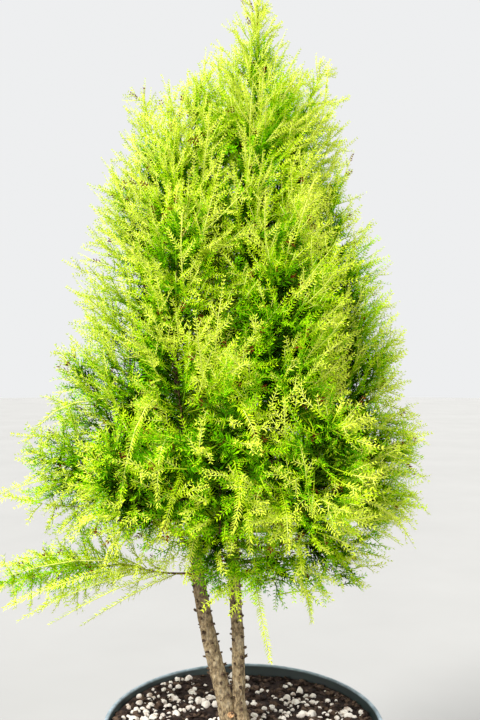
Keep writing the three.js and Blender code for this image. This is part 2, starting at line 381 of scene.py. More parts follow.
def tube_along(name, route, radii_mm, around, steps):
    """A tapering tube on a smooth curve through the points, as a mesh with closed ends."""
    deselect()
    bpy.ops.curve.primitive_bezier_curve_add()
    piece = bpy.context.object
    piece.name = name
    curve = piece.data
    curve.dimensions = "3D"
    curve.resolution_u = steps
    curve.bevel_depth = MM
    curve.bevel_resolution = around // 2 - 2
    curve.use_fill_caps = True
    spline = curve.splines[0]
    spline.bezier_points.add(len(route) - 2)
    for knot, point, radius in zip(spline.bezier_points, route, radii_mm):
        knot.co = point
        knot.radius = radius
        knot.handle_left_type = knot.handle_right_type = "AUTO"
    make_active(piece)
    bpy.ops.object.convert(target="MESH")
    return piece


# Pot

LIP_BAND, LIP_ROLL = 13 * MM, 2.2 * MM  # height of the turned-over lip, and radius of its round top
ROLL_STEPS = 7  # points round that top
DRAIN_HOLES, DRAIN_HEIGHT, DRAIN_RADIUS = 8, 13 * MM, 7 * MM


def pot_profile(wall, lip):
    """Outside, over the lip and down the inside, as (radius, height) in metres."""
    foot, rim, top = pot_foot_radius(), POT_HIGH.x, POT_HIGH.z
    slope = (rim - lip - foot) / top
    outside = [(foot - 4 * MM, 0.0), (foot - 1.2 * MM, 1.0 * MM), (foot, 4 * MM)]
    outside += [(foot + slope * z, z) for z in np.linspace(20 * MM, top - LIP_BAND - 4 * MM, 8)]
    outside += [(rim - 2.2 * MM, top - LIP_BAND - 0.6 * MM), (rim - 0.9 * MM, top - LIP_BAND + 1.2 * MM)]
    for i in range(ROLL_STEPS):
        turn = math.pi * i / (ROLL_STEPS - 1)
        radius, height = rim - LIP_ROLL, top - LIP_ROLL
        outside.append((radius + LIP_ROLL * math.cos(turn), height + LIP_ROLL * math.sin(turn)))
    inner = rim - lip - wall
    inside = [(rim - 2 * LIP_ROLL - 0.3 * MM, top - LIP_ROLL - 1.5 * MM), (inner + 0.7 * MM, top - 8 * MM)]
    inside += [(inner - slope * (top - z), z) for z in np.linspace(top - 16 * MM, 3 * MM, 6)]
    return outside + inside


def pot_foot_radius():
    """The pot's radius at its foot, from the lowest points of its solid."""
    points = mesh_points(NODES["pot"].data)
    low = points[points[:, 2] < 5 * MM]
    return float(np.hypot(low[:, 0], low[:, 1]).max())


class CYPRESS_PG_pot(bpy.types.PropertyGroup):
    """Sizes and colour of the pot"""

    wall: FloatProperty(name="Wall", description="Thickness of the wall", default=2.2 * MM, unit="LENGTH")
    lip: FloatProperty(name="Lip", description="How far the lip stands out", default=4.5 * MM, unit="LENGTH")
    around: IntProperty(name="Sides", description="Number of facets round the pot", default=128)
    colour: FloatVectorProperty(
        name="Colour", description="Colour of the plastic", subtype="COLOR", size=4, default=linear("#16211F")
    )


class CYPRESS_OT_pot(bpy.types.Operator):
    """Turn the pot's wall, lip and floor, and cut its drain holes"""

    bl_idname = "cypress.pot"
    bl_label = "Pot"

    def execute(self, context):
        settings = context.scene.cypress_pot
        profile = pot_profile(settings.wall, settings.lip)
        deselect()
        bpy.ops.mesh.primitive_circle_add(vertices=settings.around, radius=profile[0][0], fill_type="NGON")
        pot = context.object
        pot.name = pot.data.name = "nursery_pot"
        bpy.ops.object.mode_set(mode="EDIT")
        bpy.ops.mesh.select_all(action="SELECT")
        for (radius, height), (wider, higher) in zip(profile, profile[1:]):
            bpy.ops.mesh.extrude_region_move(TRANSFORM_OT_translate={"value": (0, 0, higher - height)})
            grow = wider / radius
            bpy.ops.transform.resize(value=(grow, grow, 1), center_override=(0, 0, higher))
        bpy.ops.mesh.select_all(action="SELECT")
        bpy.ops.mesh.normals_make_consistent(inside=False)
        bpy.ops.object.mode_set(mode="OBJECT")
        self.cut_drain_holes(pot)
        pot.data.materials.append(polyethylene(settings.colour))
        make_active(pot)
        bpy.ops.object.shade_smooth_by_angle(angle=math.radians(50))
        finish_piece(pot, "pot", "pot")
        return {"FINISHED"}

    def cut_drain_holes(self, pot):
        """Round holes through the wall, just above the floor."""
        cutters = []
        for i in range(DRAIN_HOLES):
            turn = (i + 0.5) / DRAIN_HOLES * 2 * math.pi
            foot = Vector((math.cos(turn), math.sin(turn), 0)) * pot_foot_radius()
            hole = foot + Vector((0, 0, DRAIN_HEIGHT))
            deselect()
            bpy.ops.mesh.primitive_cylinder_add(
                vertices=24, radius=DRAIN_RADIUS, depth=30 * MM, location=hole
            )
            cutter = bpy.context.object
            cutter.rotation_euler = (0, math.pi / 2, turn)
            cutters.append(cutter)
        cutter = join_pieces("drain_cutter", cutters)
        cut = pot.modifiers.new("drain", "BOOLEAN")
        cut.operation = "DIFFERENCE"
        cut.object = cutter
        cut.solver = "EXACT"
        apply_modifiers(pot)
        bpy.data.objects.remove(cutter)


# Potting mix

MIX_LEVEL = 226 * MM  # height of its top round the stems
LEVEL_RADIUS = 40 * MM  # it is level within this radius, and as far again its waves have their full height
WAVE_HEIGHT = 1.4 * MM
BANK_FROM, BANK_WIDTH = 85 * MM, 45 * MM  # radius where its bank against the wall begins, and width
BANK_HEIGHT, BANK_LEFT, BANK_NEAR = 7 * MM, 2 * MM, 2.5 * MM  # and height, more at the left and near side
MIX_SIDES, MIX_RINGS = 96, 30  # facets round its top and rings of them
MIX_FOOT = 0.82  # radius of its underside against that of its top
FILL_PAST, STREW_SHORT = 1.6 * MM, 1.5 * MM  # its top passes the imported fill, and what lies on it stops short
LUMP_SHAPES = 6  # different chips, and different grains
MIX_SEED, CHIP_SEED, GRAIN_SEED = 11, 20, 40  # of the places, and of the first chip's and grain's shape
# Round the stems' feet, where nothing lies: x, y and radius.
STEM_FEET = ((-0.0135, 0.0, 0.0105), (-0.001, 0.0, 0.009))
# Where perlite is heaped: x, y and how far each way.
HEAPS = ((0.075, 0.05, 0.035, 0.03), (-0.085, 0.045, 0.03, 0.035), (-0.105, 0.06, 0.025, 0.04))


class CYPRESS_PG_mix(bpy.types.PropertyGroup):
    """Amounts, sizes and colours of the potting mix"""

    perlite_count: IntProperty(name="Perlite", description="Number of perlite grains", default=530)
    chip_count: IntProperty(name="Bark chips", description="Number of bark chips", default=1500)
    perlite_size: FloatProperty(
        name="Grain size", description="Width of a common perlite grain", default=5.5 * MM, unit="LENGTH"
    )
    chip_size: FloatProperty(
        name="Chip size", description="Length of a common bark chip", default=9 * MM, unit="LENGTH"
    )
    perlite_colour: FloatVectorProperty(
        name="Grain colour",
        description="Colour of clean perlite",
        subtype="COLOR",
        size=4,
        default=linear("#E8E1D5"),
    )
    chip_colour: FloatVectorProperty(
        name="Chip colour", description="Colour of chips", subtype="COLOR", size=4, default=linear("#5E4B3D")
    )
    fill_colour: FloatVectorProperty(
        name="Mix colour", description="Colour of dry mix", subtype="COLOR", size=4, default=linear("#3C2F27")
    )


def lump(name, seed, finer, lengths, ragged):
    """One grain or chip to copy: a small ball squeezed, cut and roughened."""
    deselect()
    bpy.ops.mesh.primitive_ico_sphere_add(subdivisions=finer, radius=0.5)
    piece = bpy.context.object
    piece.name = name
    rng = np.random.default_rng(seed)
    bpy.ops.object.mode_set(mode="EDIT")
    bpy.ops.mesh.select_all(action="SELECT")
    for _ in range(2):
        normal = rng.normal(size=3)
        where = unit(normal) * rng.uniform(0.3, 0.42)
        bpy.ops.mesh.bisect(plane_co=where, plane_no=normal, use_fill=True, clear_outer=True)
        bpy.ops.mesh.select_all(action="SELECT")
    bpy.ops.transform.resize(value=lengths)
    bpy.ops.object.mode_set(mode="OBJECT")
    points = mesh_points(piece.data)
    move_points(piece.data, points + rng.normal(0, ragged, points.shape))
    modifier = piece.modifiers.new("three_sided", "TRIANGULATE")
    modifier.min_vertices = 4
    apply_modifiers(piece)
    return piece


def scatter(name, models, places, sizes, spins, material):
    """Copies of the models at the places, joined in one mesh."""
    points, faces, start = [], [], 0
    for i, (place, size, spin) in enumerate(zip(places, sizes, spins)):
        mesh = models[i % len(models)].data
        model = mesh_points(mesh)
        triangles = np.array([p.vertices for p in mesh.polygons])
        points.append(model @ spin.T * size + place)
        faces.append(triangles + start)
        start += len(model)
    for model in models:
        bpy.data.objects.remove(model)
    return mesh_object(name, np.vstack(points), np.vstack(faces), materials=[material])


def spins_of(rng, count, flat=0.0):
    """Random turns. With flat near 1 they keep a model's Z near upright."""
    turns = []
    for _ in range(count):
        tilt = Matrix.Rotation(rng.normal(0, 1) * (1 - flat) * 1.6 + rng.normal(0, 0.2), 3, "X")
        turns.append(np.array(Matrix.Rotation(rng.uniform(0, 2 * math.pi), 3, "Z") @ tilt))
    return turns


def mix_top(radius, angle):
    """Height of the mix: its solid's gentle waves, and a bank against the wall."""
    outside = np.clip((radius - LEVEL_RADIUS) / LEVEL_RADIUS, 0, 1)
    waves = np.sin(3 * angle + 0.7) + 0.6 * np.cos(5 * angle - radius / (30 * MM))
    bank = BANK_HEIGHT - BANK_LEFT * np.cos(angle) - BANK_NEAR * np.sin(angle)
    share = np.clip((radius - BANK_FROM) / BANK_WIDTH, 0, 1) ** 2
    return MIX_LEVEL + outside * WAVE_HEIGHT * waves + share * bank


def crowding(x, y):
    """Share of the perlite grains that stay at a place: they lie in drifts and heaps, with few between."""
    drift = 0.5 + 0.5 * math.sin(x / (17 * MM) + 2.2 * math.cos(y / (21 * MM)) + 0.6)
    heaps = sum(math.exp(-(((x - a) / wide) ** 2 + ((y - b) / deep) ** 2)) for a, b, wide, deep in HEAPS)
    return min(1.0, 0.12 + 0.5 * drift**2 + 0.6 * heaps)


def strewn(rng, count, size, uneven, lift, gather):
    """Places on the mix, clear of the stems, with a size for each. With gather at 1 they lie in drifts."""
    reach = MIX_HIGH.x - STREW_SHORT
    places, sizes = [], []
    while len(places) < count:
        x, y = rng.uniform(-reach, reach, 2)
        radius = math.hypot(x, y)
        if radius > reach or any(math.hypot(x - a, y - b) < near for a, b, near in STEM_FEET):
            continue
        if rng.uniform() > crowding(x, y) ** gather:
            continue
        height = float(mix_top(radius, math.atan2(y, x)))
        places.append((x, y, height + lift * rng.uniform(0.2, 1.0)))
        sizes.append(size * float(np.clip(rng.lognormal(0, uneven), 0.45, 2.0)))
    return np.array(places), sizes


class CYPRESS_OT_mix(bpy.types.Operator):
    """Fill the pot with bark mix, and scatter bark chips and perlite over it"""

    bl_idname = "cypress.mix"
    bl_label = "Potting mix"

    def execute(self, context):
        settings = context.scene.cypress_mix
        self.build_fill(composted_bark("#090605", settings.fill_colour))
        rng = np.random.default_rng(MIX_SEED)
        self.build_chips(rng, settings)
        self.build_grains(rng, settings)
        return {"FINISHED"}

    def build_fill(self, material):
        """A plug of mix with a bumpy top."""
        radius = MIX_HIGH.x + FILL_PAST
        deselect()
        bpy.ops.mesh.primitive_circle_add(
            vertices=MIX_SIDES, radius=radius * MIX_FOOT, fill_type="NGON", location=(0, 0, MIX_LOW.z)
        )
        fill = bpy.context.object
        fill.name = fill.data.name = "mix_surface"
        bpy.ops.object.mode_set(mode="EDIT")
        bpy.ops.mesh.select_all(action="SELECT")
        bpy.ops.mesh.extrude_region_move(TRANSFORM_OT_translate={"value": (0, 0, MIX_LEVEL - MIX_LOW.z)})
        bpy.ops.transform.resize(value=(1 / MIX_FOOT, 1 / MIX_FOOT, 1), center_override=(0, 0, MIX_LEVEL))
        for _ in range(MIX_RINGS):
            bpy.ops.mesh.inset(thickness=radius / (MIX_RINGS + 1), depth=0)
        bpy.ops.mesh.poke()
        bpy.ops.mesh.select_all(action="SELECT")
        bpy.ops.mesh.normals_make_consistent(inside=False)
        bpy.ops.object.mode_set(mode="OBJECT")
        points = mesh_points(fill.data)
        reach = np.hypot(points[:, 0], points[:, 1])
        top = points[:, 2] > MIX_LEVEL - MIX_LOW.z - MM
        heights = mix_top(reach, np.arctan2(points[:, 1], points[:, 0])) - MIX_LOW.z
        points[top, 2] = heights[top]
        move_points(fill.data, points)
        group = fill.vertex_groups.new(name="top")
        group.add([int(i) for i in np.flatnonzero(top & (reach < radius - MM))], 1.0, "REPLACE")
        displace(fill, "CLOUDS", 9, 4.0, "top", noise_depth=3)
        fill.data.materials.append(material)
        finish_piece(fill, "potting_mix", "potting_mix")

    def build_chips(self, rng, settings):
        """Flat chips of bark, lying down, all over the mix."""
        count, size = settings.chip_count, settings.chip_size
        places, sizes = strewn(rng, count, size, uneven=0.35, lift=1.0 * MM, gather=0)
        chips = []
        for i in range(LUMP_SHAPES):
            lengths = (1, rng.uniform(0.4, 0.7), rng.uniform(0.18, 0.4))
            chips.append(lump(f"chip_{i}", CHIP_SEED + i, finer=1, lengths=lengths, ragged=0.05))
        spins = spins_of(rng, count, flat=0.8)
        material = composted_bark("#0D0806", settings.chip_colour)
        finish_piece(scatter("bark_chips", chips, places, sizes, spins, material), "potting_mix")

    def build_grains(self, rng, settings):
        """Round grains of perlite, in drifts."""
        count, size = settings.perlite_count, settings.perlite_size
        places, sizes = strewn(rng, count, size, uneven=0.4, lift=1.7 * MM, gather=1)
        grains = []
        for i in range(LUMP_SHAPES):
            lengths = (1, rng.uniform(0.7, 1), rng.uniform(0.6, 0.9))
            grains.append(lump(f"grain_{i}", GRAIN_SEED + i, finer=2, lengths=lengths, ragged=0.03))
        spins = spins_of(rng, count)
        white = scatter("perlite_grains", grains, places, sizes, spins, perlite(settings.perlite_colour))
        make_active(white)
        bpy.ops.object.shade_smooth()
        finish_piece(white, "potting_mix")


# Stems

STEM_KNOTS = 34  # points on a stem's route
STEM_SEED, FIRST_TURNS = 5, (0, 1.3)  # of the stubs, and direction of each stem's first one in radians
STUBS_FROM = 12 * MM  # up the stem from its foot, where the pruned stubs begin
STUB_SUNK = 0.8 * MM  # how deep a stub's foot lies in the stem
STUB_LENGTHS_MM, STUB_RADII_MM = (3.0, 10.0), (1.0, 2.1)
# Pruning cuts: height, direction, and half width in millimetres.
CUTS = ((0.244, -1.15, 3.6), (0.392, -2.3, 2.6))


def slice_of(name, height):
    """(centre, radius) of a stem's solid at a height."""
    points, triangles = mesh_points(NODES[name].data), node_triangles(name)
    crossings = []
    for a, b in ((0, 1), (1, 2), (2, 0)):
        one, two = points[triangles[:, a]], points[triangles[:, b]]
        cross = (one[:, 2] - height) * (two[:, 2] - height) < 0
        one, two = one[cross], two[cross]
        share = ((height - one[:, 2]) / (two[:, 2] - one[:, 2]))[:, None]
        crossings.append(one + (two - one) * share)
    ring = np.vstack(crossings)
    centre = ring.mean(0)
    return centre, float(np.linalg.norm(ring - centre, axis=1).mean())


def stem_route(name):
    """Points and radii in millimetres up a stem, closer together near its flat foot than at its tip."""
    low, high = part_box(name)
    heights = low.z + (high.z - low.z) * np.linspace(0.0008, 0.997, STEM_KNOTS) ** 1.15
    slices = [slice_of(name, height) for height in heights]
    route = [centre for centre, _ in slices]
    route[0] = route[0] - (0, 0, heights[0] - low.z)
    return route, [max(0.6, radius / MM) for _, radius in slices]


class CYPRESS_PG_stems(bpy.types.PropertyGroup):
    """Relief, stubs and colour of the stems"""

    relief: FloatProperty(name="Relief", description="Depth of the bark", default=0.9 * MM, unit="LENGTH")
    stubs: IntProperty(name="Stubs", description="Pruned stubs on each stem", default=80)
    bare: FloatProperty(
        name="Bare height", description="Length of stem that carries stubs", default=0.2, unit="LENGTH"
    )
    colour: FloatVectorProperty(
        name="Colour", description="Colour of the bark", subtype="COLOR", size=4, default=linear("#B39A6F")
    )


class CYPRESS_OT_stems(bpy.types.Operator):
    """Grow the two stems' bark, with their pruned stubs and cuts"""

    bl_idname = "cypress.stems"
    bl_label = "Stems"

    def execute(self, context):
        settings = context.scene.cypress_stems
        bark = cypress_bark(settings.colour)
        rng = np.random.default_rng(STEM_SEED)
        stubs = []
        for name, first_turn in zip(STEM_NODES, FIRST_TURNS):
            route, radii = stem_route(name)
            self.build_stem(name, route, radii, settings.relief / MM, bark)
            stubs += self.stub_places(rng, first_turn, route, radii, settings)
        self.build_stubs(rng, stubs)
        self.build_cuts()
        return {"FINISHED"}

    def build_stem(self, name, route, radii, relief, bark):
        """A smooth tube along the stem's solid, given the swellings, clefts and scales of bark."""
        stem = tube_along(name + "_bark", route, radii, 40, 10)
        finer = stem.modifiers.new("finer", "SUBSURF")
        finer.subdivision_type = "SIMPLE"
        finer.levels = finer.render_levels = 1
        apply_modifiers(stem)
        displace(stem, "CLOUDS", 6, relief * 1.4, stretch=2.2, noise_depth=2)
        displace(stem, "VORONOI", 3.2, -relief, stretch=3.0, level=0.35, noise_intensity=1.0)
        displace(stem, "CLOUDS", 1.2, relief * 0.5, stretch=2.0, noise_depth=2)
        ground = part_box(name)[0].z
        for vertex in stem.data.vertices:
            vertex.co.z = max(vertex.co.z, ground)
        stem.data.materials.append(bark)
        make_active(stem)
        bpy.ops.object.shade_smooth()
        finish_piece(stem, "bark", name)

    def stub_places(self, rng, first_turn, route, radii, settings):
        """(centre, direction, stem radius, length) of each stub, by the golden angle up the bare stem."""
        reach = [math.dist(route[0], p) for p in route]
        found = []
        for i in range(settings.stubs):
            along = settings.bare * (i + rng.uniform(0.2, 0.8)) / settings.stubs + STUBS_FROM
            k = int(np.searchsorted(reach, along))
            share = (along - reach[k - 1]) / (reach[k] - reach[k - 1])
            centre = route[k - 1] + (route[k] - route[k - 1]) * share
            turn = i * GOLDEN_ANGLE + first_turn + rng.normal(0, 0.3)
            out = np.array((math.cos(turn), math.sin(turn), rng.uniform(0.1, 0.7)))
            found.append((centre, unit(out), radii[k] * MM, rng.uniform(*STUB_LENGTHS_MM) * MM))
        return found

    def build_stubs(self, rng, stubs):
        """One snapped peg, copied to every stub."""
        deselect()
        bpy.ops.mesh.primitive_cylinder_add(vertices=9, radius=1, depth=1, location=(0, 0, 0.5))
        peg = bpy.context.object
        bpy.ops.object.mode_set(mode="EDIT")
        tools = bmesh.from_edit_mesh(peg.data)
        for face in tools.faces:
            face.select = face.normal.z > 0.9
        bmesh.update_edit_mesh(peg.data)
        bpy.ops.transform.resize(value=(0.62, 0.62, 1))
        bpy.ops.mesh.inset(thickness=0.2, depth=-0.1)
        bpy.ops.object.mode_set(mode="OBJECT")
        model = mesh_points(peg.data)
        corners = [tuple(p.vertices) for p in peg.data.polygons]
        bpy.data.objects.remove(peg)
        points, faces = [], []
        for i, (centre, out, radius, length) in enumerate(stubs):
            side = unit(np.cross(out, (0.3, 0.2, 1)))
            wide = rng.uniform(*STUB_RADII_MM) * MM
            ragged = model + rng.normal(0, 0.09, model.shape)
            foot = centre + out * (radius - STUB_SUNK)
            across = ragged[:, :1] * side * wide + ragged[:, 1:2] * np.cross(out, side) * wide
            points.append(foot + across + ragged[:, 2:] * out * (length + STUB_SUNK))
            faces += [tuple(i * len(model) + c for c in corner) for corner in corners]
        mesh = bpy.data.meshes.new("pruned_stubs")
        mesh.from_pydata(np.vstack(points).tolist(), [], faces)
        mesh.materials.append(dead_wood("#33261B"))
        finish_piece(add_object("pruned_stubs", mesh), "bark")

    def build_cuts(self):
        """Oval pruning cuts on the left stem, low down and under its lowest bough."""
        cuts = []
        for height, turn, width in CUTS:
            centre, radius = slice_of("left_stem", height)
            out = Vector((math.cos(turn), math.sin(turn), 0.25)).normalized()
            deselect()
            bpy.ops.mesh.primitive_uv_sphere_add(segments=20, ring_count=10, radius=width * MM)
            cut = bpy.context.object
            bpy.ops.object.mode_set(mode="EDIT")
            level = (0, 0, width * 0.35 * MM)
            bpy.ops.mesh.bisect(plane_co=level, plane_no=(0, 0, 1), use_fill=True, clear_outer=True)
            bpy.ops.mesh.inset(thickness=0.5 * MM, depth=-0.3 * MM)
            bpy.ops.object.mode_set(mode="OBJECT")
            cut.rotation_euler = out.to_track_quat("Z", "Y").to_euler()
            cut.scale = (1.0, 0.8, 0.8)
            cut.location = Vector(centre) + out * (radius - width * 0.1 * MM)
            cuts.append(cut)
        piece = join_pieces("pruning_cuts", cuts)
        piece.data.materials.append(fresh_cut("#E6BC8A"))
        make_active(piece)
        bpy.ops.object.shade_smooth_by_angle(angle=math.radians(40))
        finish_piece(piece, "bark")


# Boughs


def bough_route(name):
    """Start, middle and end of a bough's solid."""
    points = mesh_points(NODES[name].data)
    stem = np.array([slice_of(s, points[:, 2].mean())[0] for s in STEM_NODES])
    near = stem[np.argmin([np.linalg.norm(points - s, axis=1).min() for s in stem])]
    way = unit(points[np.argmax(np.linalg.norm(points - near, axis=1))] - near)
    along = (points - near) @ way
    order = (along - along.min()) / (along.max() - along.min())
    parts = [points[(order >= low) & (order <= high)] for low, high in ((0, 0.2), (0.35, 0.65), (0.85, 1))]
    return [part.mean(0) for part in parts if len(part)]


class CYPRESS_PG_boughs(bpy.types.PropertyGroup):
    """Thickness and colour of the boughs"""

    foot: FloatProperty(name="Foot", description="Radius at the stem", default=2.2 * MM, unit="LENGTH")
    tip: FloatProperty(name="Tip", description="Radius at the foliage", default=1.0 * MM, unit="LENGTH")
    slim: FloatProperty(name="Slim", description="Girth of the low left bough against the rest", default=0.55)
    colour: FloatVectorProperty(
        name="Colour", description="Colour of the wood", subtype="COLOR", size=4, default=linear("#7E6038")
    )


class CYPRESS_OT_boughs(bpy.types.Operator):
    """Grow the boughs from the stems to the masses of foliage"""

    bl_idname = "cypress.boughs"
    bl_label = "Boughs"

    def execute(self, context):
        settings = context.scene.cypress_boughs
        pieces = []
        for name in BOUGH_NODES:
            route = bough_route(name)
            share = settings.slim if name == "low_left_spray_bough" else 1.0
            radii = np.linspace(settings.foot, settings.tip, len(route)) * share / MM
            inside_stem = route[0] - unit(route[1] - route[0]) * 2 * MM
            pieces.append(tube_along(name, [inside_stem, *route[1:]], radii, 12, 12))
        boughs = join_pieces("boughs", pieces)
        displace(boughs, "CLOUDS", 3, 0.7, noise_depth=2)
        boughs.data.materials.append(brown_twig(settings.colour))
        make_active(boughs)
        bpy.ops.object.shade_smooth()
        finish_piece(boughs, "twig", *BOUGH_NODES)
        return {"FINISHED"}


# Foliage

# Tints are numbered from 0 in the crown's inside to 8 at its outermost tips. The dark inner ones are partly the
# older needles' own green and partly painted shade, the pale outer ones partly the yellow of new growth and
# partly painted light.
GREENS = (
    ("innermost_needles", "#132B02"),
    ("shaded_needles", "#254803"),
    ("old_needles", "#3A7204"),
    ("deep_green_needles", "#569805"),
    ("green_needles", "#74BE06"),
    ("fresh_needles", "#98D80A"),
    ("lime_needles", "#BEE414"),
    ("lemon_tip_needles", "#D2EC26"),
    ("pale_tip_needles", "#E0F048"),
)
DRY_NEEDLES = ("dry_needles", "#74381A")
DRY = len(GREENS)
INNER_TWIG = "#6B4A2B"
SHOOT_GREENS = (
    ("shaded_shoot", "#4C6A12"),
    ("green_shoot", "#84B01C"),
    ("pale_shoot", "#C8E02C"),
    ("cream_shoot", "#E6EE76"),
)
SHOOT_TINTS_FROM = (1.9, 3.7, 6.6)  # tints at which a shoot takes the next of its greens
# Painted shade: tint for the depth of a place under the crown's surface, in millimetres, darker deeper in.
DEPTHS_MM = (-14, -4, 4, 14, 24, 38)
DEPTH_TINTS = (7.4, 7.0, 6.3, 4.5, 1.6, 0.0)
LIGHT_HEIGHTS, HEIGHT_TINTS = (0.45, 0.62, 0.80), (0.1, 1.3, 3.5)  # painted light: lighter and yellower higher up, where more light falls
# Painted shade in hollows and painted light on sunlit places of the crown: middle and radius in millimetres,
# and how much lighter it is there.
SPOTS = (
    ((20, -110, 626), 45, -1.8),
    ((-40, -110, 712), 40, -4.2),
    ((138, -10, 580), 50, 2.0),
    ((126, -5, 665), 45, 1.2),
    ((-56, -45, 530), 44, -2.6),
)
LOW_SPRAY_TINT = 4.7  # darkest tint in the low left spray, which is thin and lit from all round
STEM_SPRAYS_LIGHTER = -0.8  # in tints, so these are darker than the rest: painted shade in the crown's middle

MIDDLE = np.array((-0.02, 0.006, 0))  # of the crown, seen from above
DROOP_BELOW, LIFT_ABOVE = 0.43, 0.58  # heights between which shoots change from hanging to rising
LOWER_EDGE = (0.365, 0.400)  # heights between which the sprays' tips thin out
LOWEST_SPRAYS = 0.425  # height where the stems begin to bear sprays of their own
OPENING_HEIGHTS = (0.40, 0.50, 0.60, 0.75, 0.92)
OPENINGS = (1.4, 1.2, 1.05, 0.9, 0.6)  # radians between a spray and its mass's axis, at those heights
LUMPS = 14  # round lumps that stand for a mass where depth is worked out
VALLEY = 18 * MM  # how softly the crown's surface bridges the gaps between masses
FURTHEST_OUT = 40 * MM  # how far a spray may pass its mass's surface to fill a gap
DEEP = 16 * MM  # depth under the crown's surface from which a spray is an inner one
LIMIT = 6 * MM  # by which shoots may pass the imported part's box

SPRAY_AREA = 400 * MM**2  # of a mass's surface, for each spray
SUNLIT = 0.45  # share of the sprays that stick out
# How far such sprays and the rest pass the crown's surface, from and to in millimetres, how much lighter and
# how broad they are.
SUNLIT_SPRAY = ((0, 9), 1.1, 0.55)
SHADED_SPRAY = ((-24, -5), -2.3, 1.2)
INNER_SHARE = 0.9  # of the inner sprays that are grown
OPENING_SPREAD, TIP_SPREAD = 0.14, 0.07  # chance in a spray's opening, and of its tip against its length
SIDE_GAP = 9.5 * MM  # along a leading shoot between its side shoots
SIDES_END = 0.84  # share of the way up a leading shoot where its side shoots end
SIDE_REACH = 38 * MM  # of the longest side shoots, before they taper towards the spray's tip
BRANCHED_FROM = 27 * MM  # side shoots longer than this bear small ones
SMALL_PLACES = (0.32, 0.6)  # where those stand on them
SMALL_LENGTHS_MM = (8, 14)
SIDE_LEANS, SMALL_LEANS = (0.55, 0.95), (0.5, 0.8)  # radians between such shoots and what bears them
LIMB_PARTS, LIMB_END = 4, 0.7  # of the bare limb inside a mass, and share of the axis where it ends
BOUGH_BARE, BOUGH_SPRAY_GAP, BOUGH_SPRAYS_MM = 0.35, 6 * MM, (28, 52)  # bare share, gap and lengths of sprays
STEM_TIP = 6 * MM  # left without sprays of its own at the top of a stem
STEM_SPRAY_GAP, STEM_SPRAYS_MM = 3 * MM, (46, 80)
STEM_TAPER = 150 * MM  # below a stem's top, over which its own sprays get shorter
# Radii at the foot of a leading, a side and a small shoot, and radii between which twigs get more rings.
LEADING, SIDE, SMALL = 0.72 * MM, 0.54 * MM, 0.3 * MM
FINE_BELOW_MM, TWIG_RINGS = (0.35, 0.55), (1, 2, 4)
# Rods, the single shoots without side shoots: radius at the foot, and scales of their needles and whorl gaps.
ROD, ROD_SCALE, ROD_GAP = 0.75 * MM, 1.3, 0.64

NEEDLE_HEIGHTS, NEEDLE_SCALES = (0.42, 0.62, 0.85), (1.12, 1.05, 0.78)  # longer and fewer low down
DARK_BELOW, DARK_SCALE = (3.0, 3.4, 5.2), 2.0  # tints under which shoots are inner ones, and how much coarser
WHORL = 3  # needles at each place
LEAN, TIP_LEAN = math.radians(64), math.radians(40)  # of a needle from its shoot, and at the shoot's tip
KEEL = 0.14 * MM  # how far a needle's edges stand above its middle
# Shares of its length: where a needle is widest, and how far its tip is bent on along the shoot.
WIDEST_AT, TIP_CURVE = 0.4, 0.14
# Share of the shoots that have a dry place, its half length, and the scale of its needles' width.
DRY_SHARE, DRY_REACH, DRY_SCALE = 0.05, 4.0 * MM, 1.5

# Of each mass: its share of the usual number of sprays, more where it stands alone against the sky, and how
# much lighter than usual it is, in tints, which paints the light and shade that fall on it.
MASS_LOOKS = {
    "leader": (1.45, -0.5),
    "left_leader": (1.0, 0.0),
    "left_shoulder": (1.2, 0.7),
    "right_shoulder": (1.4, 0.0),
    "upper_left": (1.0, 1.7),
    "upper_right": (1.0, 0.3),
    "upper_back": (1.2, 0.0),
    "left_upper_side": (1.4, 0.5),
    "right_upper_side": (1.8, -0.8),
    "front_upper_left": (1.15, 1.6),
    "front_upper_right": (1.15, 0.5),
    "back_upper_left": (1.2, 0.0),
    "back_upper_right": (1.5, 0.0),
    "left_middle": (1.3, 0.5),
    "right_middle": (1.7, 1.3),
    "left_side": (1.2, 1.2),
    "right_side": (1.9, 1.7),
    "front_left": (1.0, 0.9),
    "front_middle": (1.0, 0.9),
    "front_right": (1.0, 1.5),
    "back_left": (1.15, 0.0),
    "back_middle": (1.3, -0.5),
    "back_right": (1.3, 0.0),
    "left_skirt": (1.3, 1.0),
    "middle_skirt": (1.8, 1.0),
    "front_skirt": (1.9, 1.2),
    "right_skirt": (1.7, 1.3),
    "low_left_spray": (1.5, 0.2),
}
# Boxes in millimetres, low and high corners, that outer sprays leave free so that the left stem shows.
CLEARINGS = (((-76, -200, 496), (-46, -34, 618)),)
